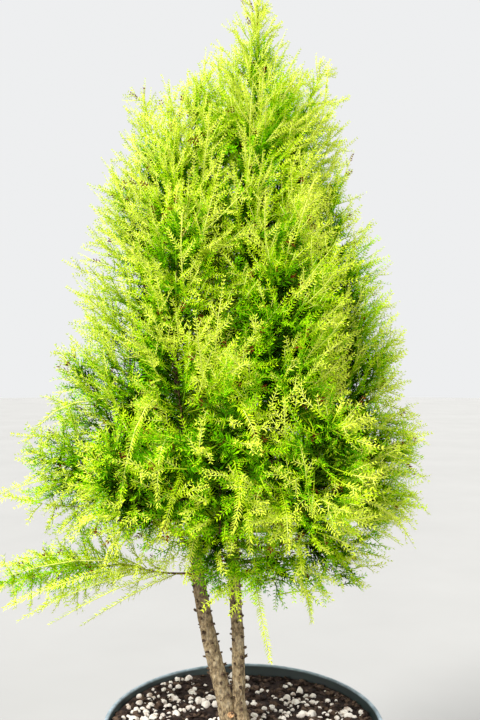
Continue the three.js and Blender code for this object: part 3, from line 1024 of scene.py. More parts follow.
# Single shoots of a mass that stand out in the photograph: foot, bend and tip in millimetres, how much
# lighter and how broad each is. One with no breadth is a rod.
LONG_SHOOTS = {
    "leader": (
        ((-2, -2, 846), (-8, -6, 884), (-8, -6, 922), 0.0, 0.5),
        ((0, -8, 830), (-14, -16, 862), (-22, -18, 900), 0.0, 0.5),
    ),
    "left_leader": (
        ((-28, -4, 836), (-22, -8, 876), (-22, -8, 912), 0.0, 0.5),
        ((-38, -8, 846), (-40, -10, 880), (-37, -10, 911), 0.0, 0.5),
        ((-52, -10, 822), (-56, -12, 860), (-55, -12, 888), 0.0, 0.5),
    ),
    "left_shoulder": (((-102, 30, 826), (-106, 32, 856), (-104, 32, 884), 0.0, 0.5),),
    "right_shoulder": (
        ((82, 36, 850), (88, 40, 880), (90, 40, 914), -0.2, 0.5),
        ((68, 30, 760), (86, 26, 786), (98, 20, 820), -0.4, 1.1),
        ((70, 22, 732), (92, 16, 750), (106, 8, 784), -0.4, 1.1),
    ),
    "upper_left": (
        ((-40, -48, 760), (-34, -76, 792), (-30, -80, 832), 0.2, 0.6),
        ((-66, -24, 800), (-72, -26, 840), (-72, -26, 873), 0.0, 0.5),
    ),
    "upper_right": (
        ((6, -52, 740), (2, -84, 772), (0, -90, 812), 0.6, 0.6),
        ((6, -52, 780), (4, -82, 812), (8, -88, 850), 0.6, 0.6),
        ((-2, -50, 700), (-6, -84, 734), (-10, -92, 776), 0.6, 0.6),
        ((8, -50, 720), (12, -86, 750), (18, -92, 786), 0.5, 0.6),
        ((16, -48, 800), (14, -78, 836), (20, -80, 874), 0.4, 0.6),
    ),
    "upper_back": (
        ((-20, 14, 740), (-20, 18, 780), (-18, 22, 828), -0.4, 1.1),
        ((-30, 12, 756), (-24, 4, 800), (-20, 2, 846), -0.4, 1.1),
    ),
    "right_upper_side": (((92, 8, 756), (102, 8, 786), (112, 8, 812), -0.2, 0.5),),
    "front_upper_left": (
        ((-40, -90, 690), (-34, -122, 716), (-22, -130, 752), 0.2, 0.6),
        ((-52, -96, 660), (-56, -128, 690), (-50, -138, 730), 0.2, 0.6),
    ),
    "front_upper_right": (
        ((22, -90, 680), (16, -124, 706), (18, -130, 746), 0.6, 0.6),
        ((44, -96, 700), (50, -124, 728), (62, -130, 760), 0.5, 0.6),
    ),
    "left_side": (((-146, -16, 560), (-190, -18, 562), (-216, -18, 514), 0.5, 0),),
    "right_side": (
        ((108, -20, 486), (150, -22, 488), (170, -22, 438), 0.2, 0.42),
        ((116, -10, 500), (154, -8, 516), (179, -8, 490), 0.4, 0.42),
        ((106, -60, 470), (140, -68, 466), (158, -66, 426), 0.4, 0.42),
        ((118, -20, 500), (152, -26, 488), (179, -30, 450), 0.0, 0),
        ((110, -30, 480), (144, -34, 468), (165, -32, 436), 0.2, 0),
        ((100, -50, 474), (132, -56, 464), (151, -54, 440), -0.2, 0),
        ((112, -6, 530), (156, -14, 536), (182, -16, 516), 0.2, 0),
    ),
    "front_left": (
        ((-76, -100, 566), (-92, -142, 564), (-105, -136, 474), 0.7, 0),
        ((-66, -108, 534), (-74, -144, 524), (-71, -138, 478), 0.7, 0),
        ((-44, -94, 522), (-54, -130, 502), (-70, -128, 452), 0.6, 0),
        ((-36, -66, 490), (-40, -104, 462), (-52, -96, 403), 0.8, 0),
    ),
    "front_middle": (
        ((-24, -112, 556), (-28, -150, 600), (-16, -158, 668), 1.2, 0.6),
        ((-30, -112, 560), (-36, -148, 596), (-40, -156, 640), 1.0, 0.6),
        ((-36, -116, 506), (-40, -150, 520), (-33, -160, 548), 1.2, 0.6),
        ((-16, -112, 556), (0, -158, 578), (13, -160, 524), 0.7, 0),
        ((-18, -124, 530), (6, -160, 506), (-10, -152, 460), 0.8, 0),
        ((0, -106, 486), (4, -142, 476), (5, -138, 438), 0.6, 0),
    ),
    "front_right": (
        ((36, -116, 516), (34, -150, 536), (31, -162, 570), 1.1, 0.6),
        ((50, -126, 484), (54, -158, 500), (44, -168, 532), 1.1, 0.6),
        ((30, -116, 492), (37, -154, 480), (35, -148, 442), 0.8, 0),
    ),
    "left_skirt": (
        ((-110, -24, 490), (-170, -22, 496), (-247, -16, 466), 0.5, 0),
        ((-84, -40, 476), (-110, -66, 462), (-128, -72, 410), 0.4, 0),
        ((-70, -36, 468), (-86, -62, 448), (-100, -66, 400), 0.3, 0),
        ((-100, -30, 484), (-136, -50, 478), (-162, -56, 430), 0.4, 0),
        ((-56, -30, 462), (-64, -54, 440), (-74, -58, 398), 0.2, 0),
    ),
    "middle_skirt": (((-12, -52, 426), (-8, -86, 404), (-4, -80, 364), 0.5, 0.42),),
    "front_skirt": (((10, -56, 398), (14, -88, 376), (24, -82, 328), 0.5, 0),),
    "right_skirt": (
        ((42, -52, 416), (54, -80, 404), (62, -76, 362), 0.5, 0),
        ((54, -30, 412), (62, -40, 384), (64, -38, 348), -0.2, 0),
        ((60, -50, 440), (84, -58, 428), (92, -56, 384), 0.2, 0),
        ((82, -40, 454), (122, -48, 446), (150, -44, 424), 0.0, 0),
        ((70, -46, 434), (92, -56, 420), (102, -54, 390), 0.0, 0),
    ),
    "low_left_spray": (
        ((-106, -8, 393), (-170, -14, 408), (-251, -18, 368), 0.3, 0.5),
        ((-104, -8, 394), (-158, -40, 420), (-232, -46, 392), 0.3, 0),
        ((-94, -8, 391), (-150, -44, 404), (-226, -50, 366), 0.4, 0),
        ((-84, -7, 389), (-138, -38, 396), (-214, -44, 352), 0.3, 0),
        ((-75, -7, 388), (-122, -34, 386), (-186, -38, 346), 0.2, 0),
        ((-66, -7, 387), (-104, -28, 378), (-156, -34, 344), 0.0, 0),
        ((-98, -8, 392), (-136, 12, 412), (-214, 18, 396), 0.0, 0),
        ((-118, -10, 396), (-180, -20, 420), (-238, -24, 398), 0.2, 0.8),
        ((-130, -6, 394), (-190, -2, 400), (-253, 2, 384), 0.0, 0.63),
        ((-112, -12, 390), (-160, -26, 388), (-208, -32, 352), 0.2, 0.56),
        ((-150, -8, 398), (-204, 4, 402), (-240, 10, 362), -0.1, 0.56),
    ),
}

# Columns of a table of shoots.
START, BEND, END, TINTS = slice(0, 3), slice(3, 6), slice(6, 9), slice(9, 11)
FOOT_TINT, TIP_TINT, BARE, THICK, BROWN = 9, 10, 11, 12, 13


class CYPRESS_PG_foliage(bpy.types.PropertyGroup):
    """Sizes, fullness and tint of the foliage"""

    needle_length: FloatProperty(
        name="Needle", description="Length of a needle at mid height", default=3.8 * MM, unit="LENGTH"
    )
    needle_width: FloatProperty(
        name="Width", description="Width of a needle", default=0.95 * MM, unit="LENGTH"
    )
    whorl_gap: FloatProperty(
        name="Whorls", description="Distance between whorls", default=2.9 * MM, unit="LENGTH"
    )
    fullness: FloatProperty(name="Fullness", description="Share of the usual number of sprays", default=1.0)
    lighter: FloatProperty(name="Lighter", description="How much lighter it is, in tints", default=0.0)
    seed: IntProperty(name="Seed", description="Number that the branching starts from", default=7)


def bezier(p0, p1, p2, t):
    """Points on curves with one bend, at the shares t of the way."""
    t = t[..., None]
    return (1 - t) ** 2 * p0 + 2 * t * (1 - t) * p1 + t**2 * p2


def bezier_slope(p0, p1, p2, t):
    """Directions of such curves at t."""
    t = t[..., None]
    return unit(2 * (1 - t) * (p1 - p0) + 2 * t * (p2 - p1))


class Shoots:
    """Curved shoots, gathered as rows of a table."""

    def __init__(self):
        self.rows = []

    def add(self, start, bend, end, tint, bare, thick, brown=False):
        """Adds shoots: points, how much lighter, share without needles, radius at the foot, whether brown."""
        values = (tint, tint, bare, thick, brown)
        full = [np.broadcast_to(np.asarray(value, float), (len(start),)) for value in values]
        self.rows.append(np.column_stack([start, bend, end, *full]))

    def table(self):
        """All shoots, one to a row."""
        return np.vstack(self.rows)


def outward_at(points):
    """Away from the crown's middle and a little up."""
    aside = (points - MIDDLE) * (1, 1, 0)
    return unit(unit(aside) + (0, 0, 0.35))


def place_whorls(table, settings, rng):
    """Each whorl's shoot, its share of the way up that, and its needles' scales in length and width."""
    start, bend, end, bare = table[:, START], table[:, BEND], table[:, END], table[:, BARE]
    length = shoot_lengths(table)
    scale = np.interp(end[:, 2], NEEDLE_HEIGHTS, NEEDLE_SCALES)
    dark = table[:, TIP_TINT] < np.interp(end[:, 2], LIGHT_HEIGHTS, DARK_BELOW)
    rod = table[:, THICK] > 0.99 * ROD
    broad = np.maximum(scale, 1.0) * np.where(dark, DARK_SCALE, 1.0)
    coarse = scale * np.where(dark, DARK_SCALE, 1.0) * np.where(rod, ROD_SCALE, 1.0)
    gap = settings.whorl_gap * scale * np.where(rod, ROD_GAP, 1.0)
    whorls = np.maximum(2, (length * (1 - bare) / gap).astype(int))
    shoot = np.repeat(np.arange(len(table)), whorls)
    step = np.arange(len(shoot)) - np.repeat(np.cumsum(whorls) - whorls, whorls)
    t = bare[shoot] + (1 - bare[shoot]) * (step + 0.6) / whorls[shoot]
    t = np.clip(t + rng.normal(0, 0.1, len(t)) / whorls[shoot], 0.0, 1.0)
    return shoot, t, coarse[shoot], broad[shoot]


def shoot_lengths(table):
    """About how long each shoot is along its curve."""
    start, bend, end = table[:, START], table[:, BEND], table[:, END]
    length = (np.linalg.norm(bend - start, axis=1) + np.linalg.norm(end - bend, axis=1)) * 0.5
    return np.maximum(length, np.linalg.norm(end - start, axis=1))


def needles_of(table, settings, rng):
    """Points, triangles and tints of the needles on all shoots."""
    shoot, t, coarse, broad = place_whorls(table, settings, rng)
    start, bend, end = table[:, START], table[:, BEND], table[:, END]
    centre = bezier(start[shoot], bend[shoot], end[shoot], t)
    slope = bezier_slope(start[shoot], bend[shoot], end[shoot], t)
    outward = (outward_at(bend) + rng.normal(0, 0.3, bend.shape))[shoot]
    right = unit(np.cross(slope, outward))
    up = np.cross(right, slope)
    turn = np.stack([np.zeros(len(t)), np.ones(len(t)), rng.uniform(0.25, 0.75, len(t))], 1) * math.pi
    turn = (turn + rng.normal(0, 0.3, turn.shape)).ravel()
    tint = table[shoot, FOOT_TINT] * (1 - t) + table[shoot, TIP_TINT] * t
    dry = (rng.uniform(size=len(table)) < DRY_SHARE) & (table[:, TIP_TINT] > 3)
    dry_at = rng.uniform(0.1, 0.9, len(table))
    is_dry = dry[shoot] & (np.abs(t - dry_at[shoot]) * shoot_lengths(table)[shoot] < DRY_REACH)
    centre, slope, right, up = (np.repeat(x, WHORL, axis=0) for x in (centre, slope, right, up))
    t, tint, coarse, broad, is_dry = (np.repeat(x, WHORL) for x in (t, tint, coarse, broad, is_dry))
    broad = np.where(is_dry, DRY_SCALE, 1.0) * broad
    out = right * np.cos(turn)[:, None] + up * np.sin(turn)[:, None]
    lean = (LEAN - (LEAN - TIP_LEAN) * t**5 + rng.normal(0, 0.09, len(t)))[:, None]
    way = slope * np.cos(lean) + out * np.sin(lean)
    size = (settings.needle_length * coarse * rng.uniform(0.88, 1.12, len(t)) * (1 - 0.4 * t**5))[:, None]
    face = up + slope * 0.3 + rng.normal(0, 0.18, up.shape)
    wide = unit(np.cross(way, face)) * (settings.needle_width * 0.5 * broad)[:, None]
    keel = np.cross(unit(wide), way) * KEEL
    foot = centre + out * 0.2 * MM
    middle = foot + way * size * WIDEST_AT
    tip = foot + way * size + slope * size * TIP_CURVE
    corners = np.stack([foot, middle + wide + keel, tip, middle - wide + keel], 1).reshape(-1, 3)
    base = np.arange(len(t))[:, None] * 4
    triangles = np.stack([base + (0, 1, 2), base + (0, 2, 3)], 1).reshape(-1, 3)
    shade = np.clip(np.rint(tint + rng.normal(0, 0.4, len(t))), 0, DRY - 1)
    shade = np.where(is_dry, DRY, shade).astype(int)
    return corners, triangles, np.repeat(shade, 2)


def twigs_of(table, rings, sides=3):
    """Points, triangles and tints of the middles of shoots, each closed to a point at its end."""
    start, bend, end = table[:, START], table[:, BEND], table[:, END]
    thick = table[:, THICK]
    count = len(table)
    layers = []
    for t in np.linspace(0, 1, rings + 1)[:-1]:
        share = np.full(count, t)
        centre, slope = bezier(start, bend, end, share), bezier_slope(start, bend, end, share)
        right = unit(np.cross(slope, (0.31, 0.22, 0.92)))
        up = np.cross(slope, right)
        radius = (thick * (1 - 0.5 * t))[:, None]
        for i in range(sides):
            turn = 2 * math.pi * i / sides
            layers.append(centre + (right * math.cos(turn) + up * math.sin(turn)) * radius)
    layers.append(end)
    points = np.stack(layers, 1).reshape(-1, 3)
    per = rings * sides + 1
    pattern, levels = [], []
    for ring in range(rings - 1):
        for i in range(sides):
            j = (i + 1) % sides
            a, b = ring * sides + i, ring * sides + j
            pattern += [(a, b, b + sides), (a, b + sides, a + sides)]
            levels += [ring / rings] * 2
    last = (rings - 1) * sides
    pattern += [(last + i, last + (i + 1) % sides, per - 1) for i in range(sides)]
    levels += [1.0] * sides
    pattern += [(0, i + 1, i) for i in range(1, sides - 1)]
    levels += [0.0] * (sides - 2)
    pattern, levels = np.array(pattern), np.array(levels)
    triangles = (np.arange(count)[:, None, None] * per + pattern).reshape(-1, 3)
    tint = table[:, FOOT_TINT, None] * (1 - levels) + table[:, TIP_TINT, None] * levels
    shade = 1 + np.digitize(tint, SHOOT_TINTS_FROM)
    shade = np.where(table[:, BROWN, None] > 0.5, 0, shade)
    return points, triangles, shade.ravel()


class Mass:
    """A mass of foliage as the branching rule needs it: its axis, its surface and its girth."""

    def __init__(self, name):
        self.name = name
        self.label = name.removesuffix("_mass")
        self.in_crown = self.label != "low_left_spray"
        self.points = mesh_points(NODES[name].data)
        triangles = node_triangles(name)
        self.tree = BVHTree.FromPolygons(self.points.tolist(), triangles.tolist())
        a, b, c = (self.points[triangles[:, i]] for i in range(3))
        weight = np.linalg.norm(np.cross(b - a, c - a), axis=1)
        self.area = float(weight.sum() / 2)
        self.bough = self.label + "_bough"
        if self.bough in NODES:
            self.root = bough_route(self.bough)[-1]
            self.tip = self.points[np.argmax(np.linalg.norm(self.points - self.root, axis=1))]
        else:
            stem = "right_stem" if self.label == "leader" else "left_stem"
            self.root = slice_of(stem, self.points[:, 2].min() + 2 * MM)[0]
            self.tip = self.points[np.argmax(self.points[:, 2])]
        self.length = float(np.linalg.norm(self.tip - self.root))
        along = (self.points - self.root) @ unit(self.tip - self.root) / self.length
        halfway = self.points[(along > 0.35) & (along < 0.65)].mean(0)
        self.bend = 2 * halfway - (self.root + self.tip) / 2
        self.places = np.linspace(0.02, 0.98, LUMPS)
        self.girth = np.array([self.girth_at(t) for t in self.places])

    def at(self, t):
        """Places on the axis."""
        return bezier(self.root, self.bend, self.tip, np.asarray(t, float))

    def slope(self, t):
        """Directions of the axis."""
        return bezier_slope(self.root, self.bend, self.tip, np.asarray(t, float))

    def around(self, t, turn):
        """Direction out from the axis at t, by an angle round it."""
        slope = self.slope(t)
        right = unit(np.cross(slope, (0.2, 0.9, 0.3)))
        return right * math.cos(turn) + np.cross(slope, right) * math.sin(turn)

    def girth_at(self, t):
        """Mean radius round the axis at t."""
        turns = np.arange(8) * math.pi / 4
        return sum(self.reach(self.at(t), self.around(t, turn)) for turn in turns) / len(turns)

    def reach(self, start, way):
        """Distance to the last place where a line from start leaves the mass, or 0 if it misses it."""
        here, nudge = Vector(start), 0.1 * MM
        travelled = 0.0
        while True:
            hit, _, _, distance = self.tree.ray_cast(here, Vector(way), 0.25)
            if hit is None:
                return travelled
            travelled += distance + nudge
            here = hit + Vector(way) * nudge


class Crown:
    """All masses as round lumps on their axes, to tell how deep a place lies under the crown's surface."""

    def __init__(self, masses):
        self.centres = np.array([mass.at(mass.places) for mass in masses])
        self.radii = np.array([mass.girth for mass in masses])

    def depth(self, points):
        """Depth of places under the surface, in metres, less than 0 outside it."""
        total = np.zeros(len(points))
        for centres, radii in zip(self.centres, self.radii):
            distance = np.linalg.norm(points[:, None] - centres, axis=2) - radii
            total += np.exp(-np.clip(distance.min(1), -0.2, 0.4) / VALLEY)
        return VALLEY * np.log(total)

    def surface_along(self, start, way, reach):
        """A line's reach, moved out where the surface bridges a gap, and the depth at the reach given."""
        steps = np.arange(0, FURTHEST_OUT, 3 * MM)
        depths = self.depth(start + (reach + steps)[:, None] * way)
        outside = np.flatnonzero(depths < 0)
        return reach + (steps[outside[0]] if len(outside) else FURTHEST_OUT), depths[0]


def lift_at(height):
    """From -1, where shoots hang, to 1, where they rise."""
    share = np.clip((height - DROOP_BELOW) / (LIFT_ABOVE - DROOP_BELOW), 0, 1)
    return 2 * (share * share * (3 - 2 * share)) - 1


def grow_spray(shoots, rng, start, bend, end, tint, bare, breadth=1.0):
    """One spray: a leading shoot, side shoots to left and right, and small ones on the longest of those."""
    length = float(np.linalg.norm(end - start))
    lead = np.array([start]), np.array([bend]), np.array([end])
    shoots.add(*lead, tint, bare, LEADING)
    count = max(3, int(length * (SIDES_END - bare) / SIDE_GAP))
    t = bare + (SIDES_END - bare) * (np.arange(count) + rng.uniform(0.2, 0.8, count)) / count
    foot, slope = bezier(*lead, t), bezier_slope(*lead, t)
    outward = outward_at(foot) + rng.normal(0, 0.3, 3)
    flat = unit(np.cross(slope, outward))
    lift = unit(np.cross(flat, slope))
    side = np.where(np.arange(count) % 2 == 0, 1.0, -1.0)
    turn = rng.normal(0, 0.6, count)
    aside = flat * (side * np.cos(turn))[:, None] + lift * np.sin(turn)[:, None]
    lean = rng.uniform(*SIDE_LEANS, count)[:, None]
    way = slope * np.cos(lean) + aside * np.sin(lean)
    taper = np.clip(1.1 - t, 0, 1) ** 0.8
    reach = min(length * 0.5, SIDE_REACH) * taper * rng.uniform(0.6, 1.25, count) * breadth + 5 * MM
    reach = reach[:, None]
    tips = foot + way * reach + slope * reach * 0.2
    bends = foot + way * reach * 0.55
    level = tint + rng.normal(0, 0.25, count)
    shoots.add(foot, bends, tips, level, 0.05, SIDE)
    longest = np.flatnonzero(reach[:, 0] > BRANCHED_FROM)
    if len(longest):
        sub = np.repeat(longest, len(SMALL_PLACES))
        place = np.tile(SMALL_PLACES, len(longest)) + rng.normal(0, 0.05, len(sub))
        parts = foot[sub], bends[sub], tips[sub]
        base, along = bezier(*parts, place), bezier_slope(*parts, place)
        away = unit(np.cross(along, lift[sub]))
        side = np.where(np.arange(len(sub)) % 2 == 0, 1.0, -1.0)[:, None]
        lean = rng.uniform(*SMALL_LEANS, len(sub))[:, None]
        way = along * np.cos(lean) + away * side * np.sin(lean)
        size = (rng.uniform(*SMALL_LENGTHS_MM, len(sub)) * MM * (1.2 - place))[:, None]
        shoots.add(base, base + way * size * 0.5, base + way * size, level[sub], 0.0, SMALL)


def grow_mass(mass, crown, settings, rng):
    """All shoots of one mass, from its axis out to its surface by the golden angle."""
    density, lighter = MASS_LOOKS[mass.label]
    shoots = Shoots()
    total = np.concatenate([[0], np.cumsum((mass.girth[1:] + mass.girth[:-1]) / 2)])
    count = int(mass.area / SPRAY_AREA * density * settings.fullness)
    offset = rng.uniform(0, 2 * math.pi)
    for k in range(count):
        t = float(np.interp((k + rng.uniform(0.2, 0.8)) / count, total / total[-1], mass.places))
        out = mass.around(t, offset + k * GOLDEN_ANGLE)
        reach = mass.reach(mass.at(t), out)
        if reach > 0:
            spray_from(mass, crown, shoots, rng, t, out, reach)
    add_axis(mass, shoots, rng)
    if mass.bough in NODES:
        add_bough_sprays(mass, shoots, rng)
    add_long_shoots(mass, shoots, rng)
    table = shoots.table()
    low, high = np.array(CAD_BOX[0]) - LIMIT, np.array(CAD_BOX[1]) + LIMIT
    for part in (START, BEND, END):
        table[:, part] = np.clip(table[:, part], low, high)
    deal_tints(table, crown, lighter + settings.lighter)
    if not mass.in_crown:
        table[:, TINTS] = np.maximum(table[:, TINTS], LOW_SPRAY_TINT)
    return table


def deal_tints(table, crown, lighter):
    """Adds to each shoot's foot and tip painted light and shade: the tint of its depth in the crown, lighter
    higher up, the hollows and sunlit spots, and the given shift.
    """
    for column, part in ((FOOT_TINT, START), (TIP_TINT, END)):
        depth = crown.depth(table[:, part]) / MM
        by_height = np.interp(table[:, part][:, 2], LIGHT_HEIGHTS, HEIGHT_TINTS)
        table[:, column] += np.interp(depth, DEPTHS_MM, DEPTH_TINTS) + by_height + lighter
        for middle, radius, shift in SPOTS:
            distance = np.linalg.norm(table[:, part] / MM - middle, axis=1)
            table[:, column] += shift * np.exp(-((distance / radius) ** 2))


def in_clearing(place):
    """Whether a place is one that outer sprays leave free."""
    return any(np.all(place / MM > low) and np.all(place / MM < high) for low, high in CLEARINGS)


def spray_from(mass, crown, shoots, rng, t, out, reach):
    """A spray that leaves the mass's axis behind t and ends near the crown's surface at t."""
    here, slope = mass.at(t), mass.slope(t)
    out_reach, depth = crown.surface_along(here, out, reach)
    if depth > DEEP:
        if rng.uniform() > INNER_SHARE:
            return
        out_reach = reach
    opening = np.interp(here[2], OPENING_HEIGHTS, OPENINGS) + rng.normal(0, OPENING_SPREAD)
    base_t = t - out_reach / math.tan(opening) / mass.length
    if base_t < 0.02:
        base_t = rng.uniform(0.02, max(0.04, min(t, 0.25)))
    base = mass.at(base_t)
    beyond_mm, lighter, breadth = SUNLIT_SPRAY if rng.uniform() < SUNLIT else SHADED_SPRAY
    end = here + out * (out_reach + rng.uniform(*beyond_mm) * MM) + slope * out_reach * 0.1
    if in_clearing(end):
        return
    length = float(np.linalg.norm(end - base))
    lift = float(lift_at(here[2]))
    upward = np.array((0, 0, 1.0))
    sag = max(0.0, -lift) * length * rng.uniform(0.0, 0.3) * (1 - max(0.0, -out[2]))
    bend = base + (end - base) * 0.5 + out * out_reach * 0.12 - upward * length * 0.06 * lift
    end = end - upward * sag + rng.normal(0, TIP_SPREAD, 3) * length
    if mass.in_crown and end[2] < rng.uniform(*LOWER_EDGE):
        return
    lighter += rng.normal(0, 0.4)
    bare = 0.35 if length > 50 * MM else 0.15
    grow_spray(shoots, rng, base, bend, end, lighter, bare, breadth)


def add_axis(mass, shoots, rng):
    """The mass's own limb, brown and bare, and the spray that ends it."""
    cuts = np.linspace(0, LIMB_END, LIMB_PARTS + 1)
    ends, slopes = mass.at(cuts), mass.slope(cuts)
    gap = mass.length * (cuts[1] - cuts[0])
    for i in range(LIMB_PARTS):
        if mass.in_crown and ends[i + 1][2] < LOWER_EDGE[1]:
            return
        bend = ends[i] + slopes[i] * gap * 0.5
        thick = (1.35 - 0.25 * i) * MM
        shoots.add(ends[i : i + 1], bend[None], ends[i + 1 : i + 2], 0, 1.0, thick, True)
    if not mass.in_crown or mass.tip[2] > LOWER_EDGE[0]:
        grow_spray(shoots, rng, ends[-1], mass.at(0.85), mass.tip, 0.3, 0.05)


def add_bough_sprays(mass, shoots, rng):
    """Small sprays on the outer part of the bough that carries the mass."""
    route = bough_route(mass.bough)
    count = int(math.dist(route[0], route[-1]) * (1 - BOUGH_BARE) / BOUGH_SPRAY_GAP)
    way = unit(route[-1] - route[0])
    right = unit(np.cross(way, (0, 0.1, 1)))
    for k in range(count):
        base = route[0] + (route[-1] - route[0]) * (BOUGH_BARE + (1 - BOUGH_BARE) * (k + 0.5) / count)
        turn = k * GOLDEN_ANGLE
        out = right * math.cos(turn) + np.cross(right, way) * math.sin(turn)
        size = rng.uniform(*BOUGH_SPRAYS_MM) * MM
        end = base + (way * 0.55 + out * 0.75) * size
        bend = base + (way * 0.35 + out * 0.3) * size
        grow_spray(shoots, rng, base, bend, end, rng.normal(0, 0.4), 0.1)


def add_long_shoots(mass, shoots, rng):
    """The mass's single shoots that stand out in the photograph."""
    for *knots, lighter, breadth in LONG_SHOOTS.get(mass.label, ()):
        start, bend, end = (np.array(knot) * MM for knot in knots)
        if breadth:
            grow_spray(shoots, rng, start, bend, end, lighter, 0.1, breadth)
        else:
            shoots.add(start[None], bend[None], end[None], lighter, 0.05, ROD)


def grow_stem_sprays(crown, settings, rng):
    """Short sprays straight from the stems, half of them towards the other stem, to fill the middle, dealt
    darker tints as painted shade.
    """
    shoots = Shoots()
    upward = np.array((0, 0, 1.0))
    for name, other in zip(STEM_NODES, reversed(STEM_NODES)):
        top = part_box(name)[1].z
        low, high = LOWEST_SPRAYS, top - STEM_TIP
        count = int((high - low) / STEM_SPRAY_GAP)
        for k in range(count):
            height = low + (high - low) * (k + 0.5) / count
            base = slice_of(name, height)[0]
            turn = k * GOLDEN_ANGLE
            if k % 2 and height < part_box(other)[1].z - STEM_TIP:
                across = slice_of(other, height)[0] - base
                turn = math.atan2(across[1], across[0]) + rng.uniform(-0.9, 0.9)
            out = np.array((math.cos(turn), math.sin(turn), 0))
            opening = np.interp(height, OPENING_HEIGHTS, OPENINGS) + rng.normal(0, 0.15)
            size = rng.uniform(*STEM_SPRAYS_MM) * MM * min(1.0, 0.3 + (top - height) / STEM_TAPER)
            end = base + (out * math.sin(opening) + upward * math.cos(opening)) * size
            bend = (base + end) / 2 - upward * size * 0.05
            grow_spray(shoots, rng, base, bend, end, rng.normal(0, 0.4), 0.15)
    table = shoots.table()
    deal_tints(table, crown, STEM_SPRAYS_LIGHTER + settings.lighter)
    return table


class CYPRESS_OT_foliage(bpy.types.Operator):
    """Grow twigs and needles through every mass of foliage"""

    bl_idname = "cypress.foliage"
    bl_label = "Foliage"

    def execute(self, context):
        settings = context.scene.cypress_foliage
        needle_tints = [living_green(name, colour) for name, colour in (*GREENS, DRY_NEEDLES)]
        shoot_tints = [brown_twig(INNER_TWIG), *(living_green(name, colour) for name, colour in SHOOT_GREENS)]
        masses = [Mass(name) for name in MASS_NODES]
        crown = Crown(masses)
        for index, mass in enumerate(masses):
            rng = np.random.default_rng(settings.seed * 1000 + index)
            table = grow_mass(mass, crown, settings, rng)
            self.build_needles(mass.label, table, settings, rng, needle_tints, mass.name)
            self.build_twigs(mass.label, table, shoot_tints)
        rng = np.random.default_rng(settings.seed)
        table = grow_stem_sprays(crown, settings, rng)
        self.build_needles("stem_sprays", table, settings, rng, needle_tints)
        self.build_twigs("stem_sprays", table, shoot_tints)
        return {"FINISHED"}

    def build_needles(self, label, table, settings, rng, materials, *nodes):
        """The needles of a table of shoots, as one piece."""
        points, faces, tints = needles_of(table[table[:, BARE] < 1], settings, rng)
        finish_piece(mesh_object(label + "_needles", points, faces, tints, materials), "foliage", *nodes)

    def build_twigs(self, label, table, materials):
        """The twigs of a table of shoots, as one piece, the thicker ones with more rings."""
        group = np.digitize(table[:, THICK] / MM, FINE_BELOW_MM)
        parts = [twigs_of(table[group == k], rings) for k, rings in enumerate(TWIG_RINGS)]
        starts = np.cumsum([0] + [len(points) for points, _, _ in parts])
        points = np.vstack([points for points, _, _ in parts])
        faces = np.vstack([triangles + start for (_, triangles, _), start in zip(parts, starts)])
        tints = np.concatenate([shades for _, _, shades in parts])
        finish_piece(mesh_object(label + "_twigs", points, faces, tints, materials), "twig")


# Stage

CAMERA_PLACE = Vector((-0.0035, -0.778, 0.600))
CAMERA_SENSOR, CAMERA_LENS = 36, 38.6  # millimetres, the first along the picture's longer side
# The side from which each light comes.
LIGHTS = {"key": (-2.2, -1.9, 3.0), "fill": (2.8, -1.6, 1.7), "back": (0.8, 2.8, 3.0)}


class CYPRESS_PG_stage(bpy.types.PropertyGroup):
    """Size of the floor and strength of the light"""

    floor_radius: FloatProperty(name="Floor", description="Radius of the floor", default=12.0, unit="LENGTH")
    sky: FloatProperty(name="Sky", description="Strength of the light from all round", default=0.87)
    key: FloatProperty(name="Key", description="Strength of the main light", default=5.0)
    fill: FloatProperty(name="Fill", description="Strength of the fill light", default=0.3)
    back: FloatProperty(name="Back", description="Strength of the light from behind", default=0.8)
    softness: FloatProperty(
        name="Softness",
        description="Width of the lights as seen from the plant",
        default=math.radians(24),
        subtype="ANGLE",
    )


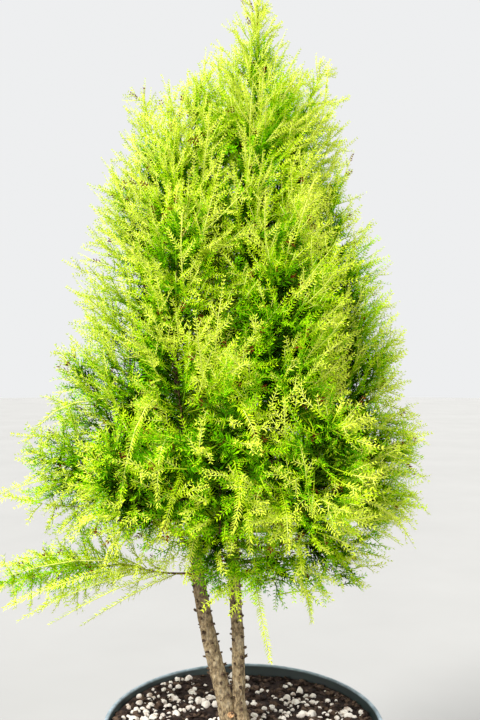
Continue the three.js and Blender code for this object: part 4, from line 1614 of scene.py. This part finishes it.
class CYPRESS_OT_stage(bpy.types.Operator):
    """Set up the floor, the light and the camera"""

    bl_idname = "cypress.stage"
    bl_label = "Stage"

    def execute(self, context):
        settings = context.scene.cypress_stage
        self.build_floor(settings.floor_radius)
        world = bpy.data.worlds.new("pale_room")
        world.use_nodes = True
        background = world.node_tree.nodes["Background"]
        background.inputs["Color"].default_value = linear("#FDFEFF")
        background.inputs["Strength"].default_value = settings.sky
        context.scene.world = world
        for name, place in LIGHTS.items():
            self.add_light(name, place, getattr(settings, name), settings.softness)
        camera = add_object("camera", bpy.data.cameras.new("camera"))
        camera.data.sensor_width = CAMERA_SENSOR
        camera.data.lens = CAMERA_LENS
        camera.location = CAMERA_PLACE
        camera.rotation_euler = (math.pi / 2, 0, 0)
        context.scene.camera = camera
        context.scene.view_settings.view_transform = "Standard"
        return {"FINISHED"}

    def build_floor(self, radius):
        """A wide pale floor, faintly cloudy."""
        deselect()
        bpy.ops.mesh.primitive_circle_add(vertices=64, radius=radius, fill_type="NGON")
        floor = bpy.context.object
        floor.name = "floor"
        greys = ((0.3, "#9D9C99"), (0.7, "#A2A19E"))
        floor.data.materials.append(grained("pale_floor", greys, (400, 3, 0.55), Roughness=0.8))

    def add_light(self, name, place, strength, width):
        """A wide soft light that shines evenly on plant and floor, from the side where place is."""
        light = bpy.data.lights.new(name, "SUN")
        light.energy = strength
        light.angle = width
        lamp = add_object(name, light)
        lamp.location = place
        lamp.rotation_euler = (-Vector(place)).to_track_quat("-Z", "Y").to_euler()


# Panel and registration

# Name of each group of settings on the scene, its class, and the operator that reads it.
PARTS = (
    ("cypress_pot", CYPRESS_PG_pot, CYPRESS_OT_pot),
    ("cypress_mix", CYPRESS_PG_mix, CYPRESS_OT_mix),
    ("cypress_stems", CYPRESS_PG_stems, CYPRESS_OT_stems),
    ("cypress_boughs", CYPRESS_PG_boughs, CYPRESS_OT_boughs),
    ("cypress_foliage", CYPRESS_PG_foliage, CYPRESS_OT_foliage),
    ("cypress_stage", CYPRESS_PG_stage, CYPRESS_OT_stage),
)


class CYPRESS_PT_panel(bpy.types.Panel):
    """Lists the plant's pieces with their settings, and a button to build each"""

    bl_label = "Cypress"
    bl_space_type = "VIEW_3D"
    bl_region_type = "UI"
    bl_category = "Cypress"

    def draw(self, context):
        for name, group, operator in PARTS:
            box = self.layout.box()
            for key in group.__annotations__:
                box.prop(getattr(context.scene, name), key)
            box.operator(operator.bl_idname)


CLASSES = [cls for _, *pair in PARTS for cls in pair] + [CYPRESS_PT_panel]


def register():
    """Registers the classes and puts the groups of settings on the scene."""
    for cls in CLASSES:
        bpy.utils.register_class(cls)
    for name, group, _ in PARTS:
        setattr(bpy.types.Scene, name, PointerProperty(type=group))


def unregister():
    """Takes back what register did."""
    for name, _, _ in PARTS:
        delattr(bpy.types.Scene, name)
    for cls in reversed(CLASSES):
        bpy.utils.unregister_class(cls)


def main():
    """Builds the stage and every piece."""
    register()
    bpy.ops.cypress.stage()
    bpy.ops.cypress.pot()
    bpy.ops.cypress.mix()
    bpy.ops.cypress.stems()
    bpy.ops.cypress.boughs()
    bpy.ops.cypress.foliage()


if __name__ == "__main__":
    main()
